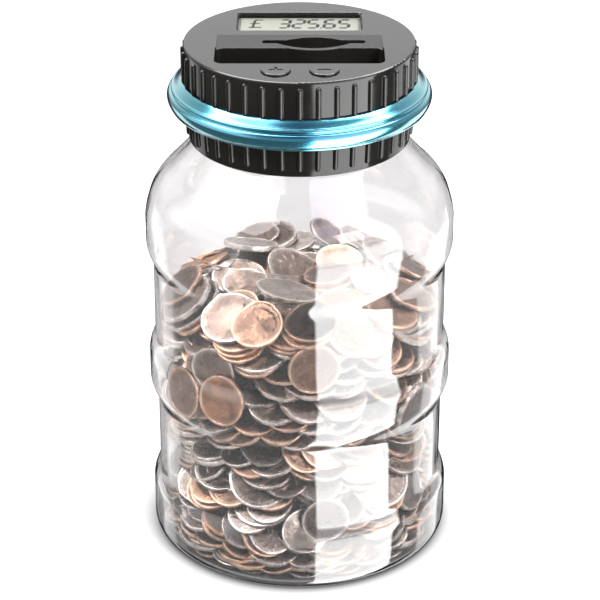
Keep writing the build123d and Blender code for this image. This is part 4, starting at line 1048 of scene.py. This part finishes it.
def coin_metal(name, stops, rough, polished):
    """Circulated metal: a tone per coin, grime in patches, a polished rim, and painted shade
    that darkens the coins low in the jar.
    """
    tree = material_tree(name)
    place = tree.millimetres()
    chance = tree.node("ObjectInfo").outputs["Random"]
    shift = tree.combine(tree.mul(chance, 900.0), tree.mul(chance, 377.0), 0.0)
    spot = tree.vector("ADD", place, shift)
    shade = tree.ramp(chance, stops)
    grime = tree.remap(tree.noise(spot, scale=0.16, distortion=0.3),
                       span=(0.36, 0.74), to=(0.0, 0.9))
    base = tree.mix(grime, shade, tree.mix(0.7, shade, (0.045, 0.027, 0.02)))
    # painted shade: the colour is darkened towards the bottom of the jar, to 40% at the floor,
    # for the shade deep in the heap
    height = tree.separate(tree.node("NewGeometry").outputs["Position"])[2]
    painted_low_shade = tree.remap(height, span=(0.0, 0.085), to=(0.40, 1.0))
    base = tree.vector("MULTIPLY", base, tree.combine(painted_low_shade, painted_low_shade, painted_low_shade))
    rim = tree.node("Attribute", attribute_name="rim").outputs["Fac"]
    rubbed = tree.remap(tree.noise(spot, scale=0.3, detail=2.0), to=(0.45, 1.0))
    base = tree.mix(tree.mul(rim, rubbed), base, polished)
    fine = tree.noise(spot, scale=2.6, detail=4.0, rough=0.65)
    specks = tree.remap(fine, span=(0.55, 0.8), to=(0.0, 0.35))
    base = tree.mix(specks, base, (0.10, 0.08, 0.07))
    dull = tree.remap(fine, to=(rough * 0.75, rough * 1.3))
    # soft embossing over the middle of each face
    flat = tree.vector("MULTIPLY", place, (1.0, 1.0, 0.0))
    middle = tree.remap(tree.length(flat), span=(6.6, 7.4), to=(1.0, 0.0))
    emboss = tree.mul(tree.noise(spot, scale=0.60, detail=2.0), tree.mul(middle, 1.5))
    relief = tree.add(tree.mul(fine, 0.35), emboss)
    return tree.principled({
        "Base Color": base,
        "Metallic": tree.remap(grime, span=(0.0, 0.75), to=(1.0, 0.72)),
        "Roughness": tree.add(dull, tree.mul(grime, 0.18)),
        "Normal": tree.bump(relief, strength=0.55, distance=0.00010)})


def place_mesh(name, flat):
    """One small square per coin; a coin is instanced on each."""
    verts, faces = [], []
    for start in range(0, len(flat), 7):
        center = Vector(flat[start:start + 3]) * 0.1
        turn = flat[start + 3:start + 7]
        size = math.sqrt(sum(part * part for part in turn))
        w, x, y, z = (part / size for part in turn)
        across = Vector((1 - 2 * (y * y + z * z), 2 * (x * y + z * w), 2 * (x * z - y * w)))
        along = Vector((2 * (x * y - z * w), 1 - 2 * (x * x + z * z), 2 * (y * z + x * w)))
        first = len(verts)
        for i, j in ((-1, -1), (1, -1), (1, 1), (-1, 1)):
            verts.append(tuple((center + across * i + along * j) * MM))
        faces.append(tuple(range(first, first + 4)))
    mesh = bpy.data.meshes.new(name)
    mesh.from_pydata(verts, [], faces)
    return mesh


COIN_METALS = {
    "silver": coin_metal("coin_silver", [
        (0.0, (0.115, 0.080, 0.062)), (0.3, (0.22, 0.165, 0.135)),
        (0.65, (0.36, 0.29, 0.25)), (1.0, (0.62, 0.54, 0.49))],
        rough=0.19, polished=(0.93, 0.87, 0.81)),
    "copper": coin_metal("coin_copper", [
        (0.0, (0.062, 0.033, 0.022)), (0.35, (0.12, 0.066, 0.043)),
        (0.7, (0.21, 0.125, 0.086)), (1.0, (0.48, 0.24, 0.13))],
        rough=0.24, polished=(0.90, 0.62, 0.45)),
}
for number, (diameter, thickness, kind) in enumerate(COIN_KINDS):
    name = "coin_places_%d" % number
    places = add_object(name, place_mesh(name, COINS[number]))
    mesh = coin_mesh("coin_%d" % number, diameter, thickness, kind)
    mesh.materials.append(COIN_METALS[kind])
    coin = add_object("coin_%d" % number, mesh)
    coin.parent = places
    places.instance_type = "FACES"
    places.use_instance_faces_scale = False
    places.show_instancer_for_render = False
    places.show_instancer_for_viewport = False

# the unseen middle of the heap, so gaps between coins don't show through it
HEAP_PROFILE = [
    (0, 6.5), (12, 6.5), (22.5, 7.2), (23.8, 12), (24.2, 40), (24.2, 72), (22.5, 78), (17, 84),
    (8, 87), (0, 87.5)]


def heap_shape(radius, z, angle):
    return (radius + 0.7 * np.sin(9 * angle + z * 0.35) * (radius > 5),
            z + 0.5 * np.sin(5 * angle + radius * 0.4))


heap = lathe("heap_middle", HEAP_PROFILE, seg=96, material=COIN_METALS["copper"],
             shape=heap_shape)
heap.location.y = 4 * MM

# ---------------------------------------------------------------- floor
FLOOR_HALF = 6.0   # metres


def pale_floor(name):
    """White floor with a painted contact shade round the jar's foot, softer on the left."""
    tree = material_tree(name)
    place = tree.millimetres()
    cloud = tree.noise(place, scale=0.02, detail=2.0)
    reach = tree.math("SUBTRACT", tree.length(place), 54.5)
    falloff = tree.remap(tree.separate(place)[0], span=(-40.0, 50.0), to=(6.4, 4.2))
    power = tree.math("DIVIDE", tree.mul(tree.math("MAXIMUM", reach, 0.0), -1.0), falloff)
    hug = tree.math("POWER", 2.718, power)
    shade = tree.remap(hug, span=(0.0, 1.0), to=(1.0, 0.12))
    white = tree.mix(cloud, (0.86, 0.86, 0.86), (0.88, 0.88, 0.88))
    diffuse = tree.node("BsdfDiffuse", {"Color": tree.mix(shade, (0.05, 0.05, 0.05), white)})
    # a glow only the camera sees lifts the floor to white
    seen = tree.node("LightPath").outputs["Is Camera Ray"]
    glow = tree.mul(shade, tree.remap(seen, span=(0.0, 1.0), to=(0.0, 0.62)))
    emission = tree.node("Emission", {"Color": (1, 1, 1), "Strength": glow})
    return tree.output(tree.node("AddShader", {0: diffuse, 1: emission}))


floor_mesh = bpy.data.meshes.new("floor")
corners = [(x * FLOOR_HALF, y * FLOOR_HALF, 0) for x, y in ((-1, -1), (1, -1), (1, 1), (-1, 1))]
floor_mesh.from_pydata(corners, [], [(0, 1, 2, 3)])
floor = add_object("floor", floor_mesh)
floor_mesh.materials.append(pale_floor("pale_floor"))
floor.location.z = -0.0001
floor.visible_glossy = False

# ---------------------------------------------------------------- world
# The studio turns with the camera's heading; at the main view it adds no turn.
heading = add_object("studio_heading", None)


def studio_world():
    """White to the camera, soft to diffuse rays, and light panels to glossy and glass rays."""
    world = bpy.data.worlds.new("studio")
    scene.world = world
    tree = Tree(world)
    x, y, z = tree.separate(tree.node("TexCoord", object=heading).outputs["Object"])
    # degrees: azimuth is 0 towards the camera and grows to the right
    degrees = 180 / math.pi
    azimuth = tree.mul(tree.math("ARCTAN2", x, tree.mul(y, -1.0)), degrees)
    elevation = tree.mul(tree.math("ARCSINE", z), degrees)
    off_front = tree.math("ABSOLUTE", azimuth)
    rays = tree.node("LightPath").outputs
    glossy, glass = rays["Is Glossy Ray"], rays["Is Transmission Ray"]

    def band(value, low, high, soft):
        """1 between low and high, with edges soft to each side."""
        return tree.mul(tree.remap(value, span=(low - soft, low + soft)),
                        tree.remap(value, span=(high - soft, high + soft), to=(1.0, 0.0)))

    def panel(sides, heights):
        """A light panel; each argument is low edge, high edge and softness."""
        return tree.mul(band(azimuth, *sides), band(elevation, *heights))

    base = tree.remap(elevation, span=(-12.0, 12.0), to=(0.24, 0.70))
    low_glass = tree.remap(elevation, span=(-12.0, 12.0), to=(0.46, 0.0))
    base = tree.add(base, tree.mul(glass, low_glass))
    # a dimmer, tinted patch high in front
    ahead = tree.mul(tree.remap(off_front, span=(25.0, 70.0), to=(1.0, 0.0)),
                     tree.remap(elevation, span=(28.0, 45.0)))
    base = tree.mul(base, tree.remap(ahead, span=(0.0, 1.0), to=(1.0, 0.42)))

    right_strip = tree.mul(panel((12.5, 78.0, 1.2), (-75.0, 62.0, 3.0)),
                           tree.remap(elevation, span=(-6.0, 12.0), to=(1.0, 0.15)))
    right_low = panel((108.0, 142.0, 2.0), (-75.0, -14.0, 3.0))
    left_high = panel((-112.0, -58.0, 8.0), (30.0, 78.0, 6.0))
    left_low = panel((-138.0, -118.0, 3.0), (-70.0, -10.0, 3.0))
    left_middle = panel((-112.0, -40.0, 8.0), (0.0, 30.0, 6.0))
    back = tree.mul(tree.remap(off_front, span=(120.0, 160.0)),
                    band(elevation, 6.0, 60.0, 5.0))
    back_high = tree.mul(tree.remap(off_front, span=(95.0, 115.0)),
                         band(elevation, 47.0, 78.0, 3.0))
    # dark flags low behind, which draw the jar's edges
    flags = tree.mul(band(off_front, 143.0, 174.0, 4.0),
                     tree.remap(elevation, span=(-5.0, 5.0), to=(1.0, 0.0)))

    light = base
    for shape, strength in ((right_strip, 13.0), (right_low, 2.6), (left_low, 1.6),
                            (back, 0.9)):
        light = tree.add(light, tree.mul(shape, strength))
    light = tree.mul(light, tree.remap(flags, span=(0.0, 1.0), to=(1.0, 0.12)))
    mirrored = tree.add(tree.add(tree.mul(back_high, 16.0), tree.mul(left_high, 3.6)),
                        tree.mul(left_middle, 1.3))
    light = tree.add(light, tree.mul(mirrored, glossy))

    soft = tree.remap(elevation, span=(-10.0, 50.0), to=(0.42, 0.72))
    sharp = tree.math("MAXIMUM", glossy, glass)
    strength = tree.add(tree.mul(sharp, light),
                        tree.mul(tree.math("SUBTRACT", 1.0, sharp), soft))
    camera_ray = rays["Is Camera Ray"]
    strength = tree.add(tree.mul(strength, tree.math("SUBTRACT", 1.0, camera_ray)),
                        tree.mul(camera_ray, 1.0))
    tint = tree.mix(tree.mul(ahead, sharp), (1.0, 1.0, 1.0), (0.86, 0.74, 1.0))
    tree.output(tree.node("Background", {"Color": tint, "Strength": strength}), kind="World")


studio_world()


# ---------------------------------------------------------------- lights and camera
def area_light(name, location, target, size, power):
    """A square light that turns with the studio and isn't seen in reflections."""
    data = bpy.data.lights.new(name, "AREA")
    data.shape = "SQUARE"
    data.size = size
    data.energy = power
    light = add_object(name, data)
    light.location = location
    light.rotation_mode = "QUATERNION"
    light.rotation_quaternion = (Vector(target) - Vector(location)).to_track_quat("-Z", "Y")
    light.parent = heading
    light.visible_glossy = False


area_light("key_soft", (0.55, -0.62, 0.70), target=(0, 0, 0.07), size=0.35, power=8.0)
area_light("top_soft", (-0.40, -0.25, 0.85), target=(0, 0, 0.1), size=0.5, power=5.0)

CAMERA_PITCH = math.radians(26.65)
CAMERA_DISTANCE = 0.900
CAMERA_TARGET = Vector((0, 0, 0.0939))

lens = bpy.data.cameras.new("camera")
camera = add_object("camera", lens)
lens.sensor_width = 36.0
lens.lens = 142.3
lens.shift_x = 0.0008
lens.clip_start = 0.05
lens.clip_end = 50
forward = Vector((0, math.cos(CAMERA_PITCH), -math.sin(CAMERA_PITCH)))
camera.location = CAMERA_TARGET - forward * CAMERA_DISTANCE
camera.rotation_mode = "QUATERNION"
camera.rotation_quaternion = forward.to_track_quat("-Z", "Y")
scene.camera = camera

follow = heading.constraints.new("COPY_ROTATION")
follow.target = camera
follow.use_x = False
follow.use_y = False
follow.use_z = True

# The camera draws back as the lid lifts, so the raised lid stays in view.
camera_up = camera.rotation_quaternion @ Vector((0, 1, 0))
draw_back = camera_up * 0.0062 - forward * 0.085
lift = camera.constraints.new("TRANSFORM")
lift.target = bpy.data.objects["body:lid"]
lift.map_from = "LOCATION"
lift.from_min_z = 0.0
lift.from_max_z = 0.015
lift.map_to = "LOCATION"
lift.map_to_x_from = lift.map_to_y_from = lift.map_to_z_from = "Z"
lift.to_max_x, lift.to_max_y, lift.to_max_z = draw_back
lift.mix_mode = "ADD"

# ---------------------------------------------------------------- render settings
CYCLES = dict(
    use_denoising=True, denoiser="OPENIMAGEDENOISE", max_bounces=14, transmission_bounces=12,
    glossy_bounces=6, diffuse_bounces=3, transparent_max_bounces=16,
    caustics_reflective=False, caustics_refractive=False, sample_clamp_indirect=6.0)
for setting, value in CYCLES.items():
    setattr(scene.cycles, setting, value)
scene.view_settings.view_transform = "Standard"
scene.view_settings.look = "None"
scene.view_settings.exposure = 0.0
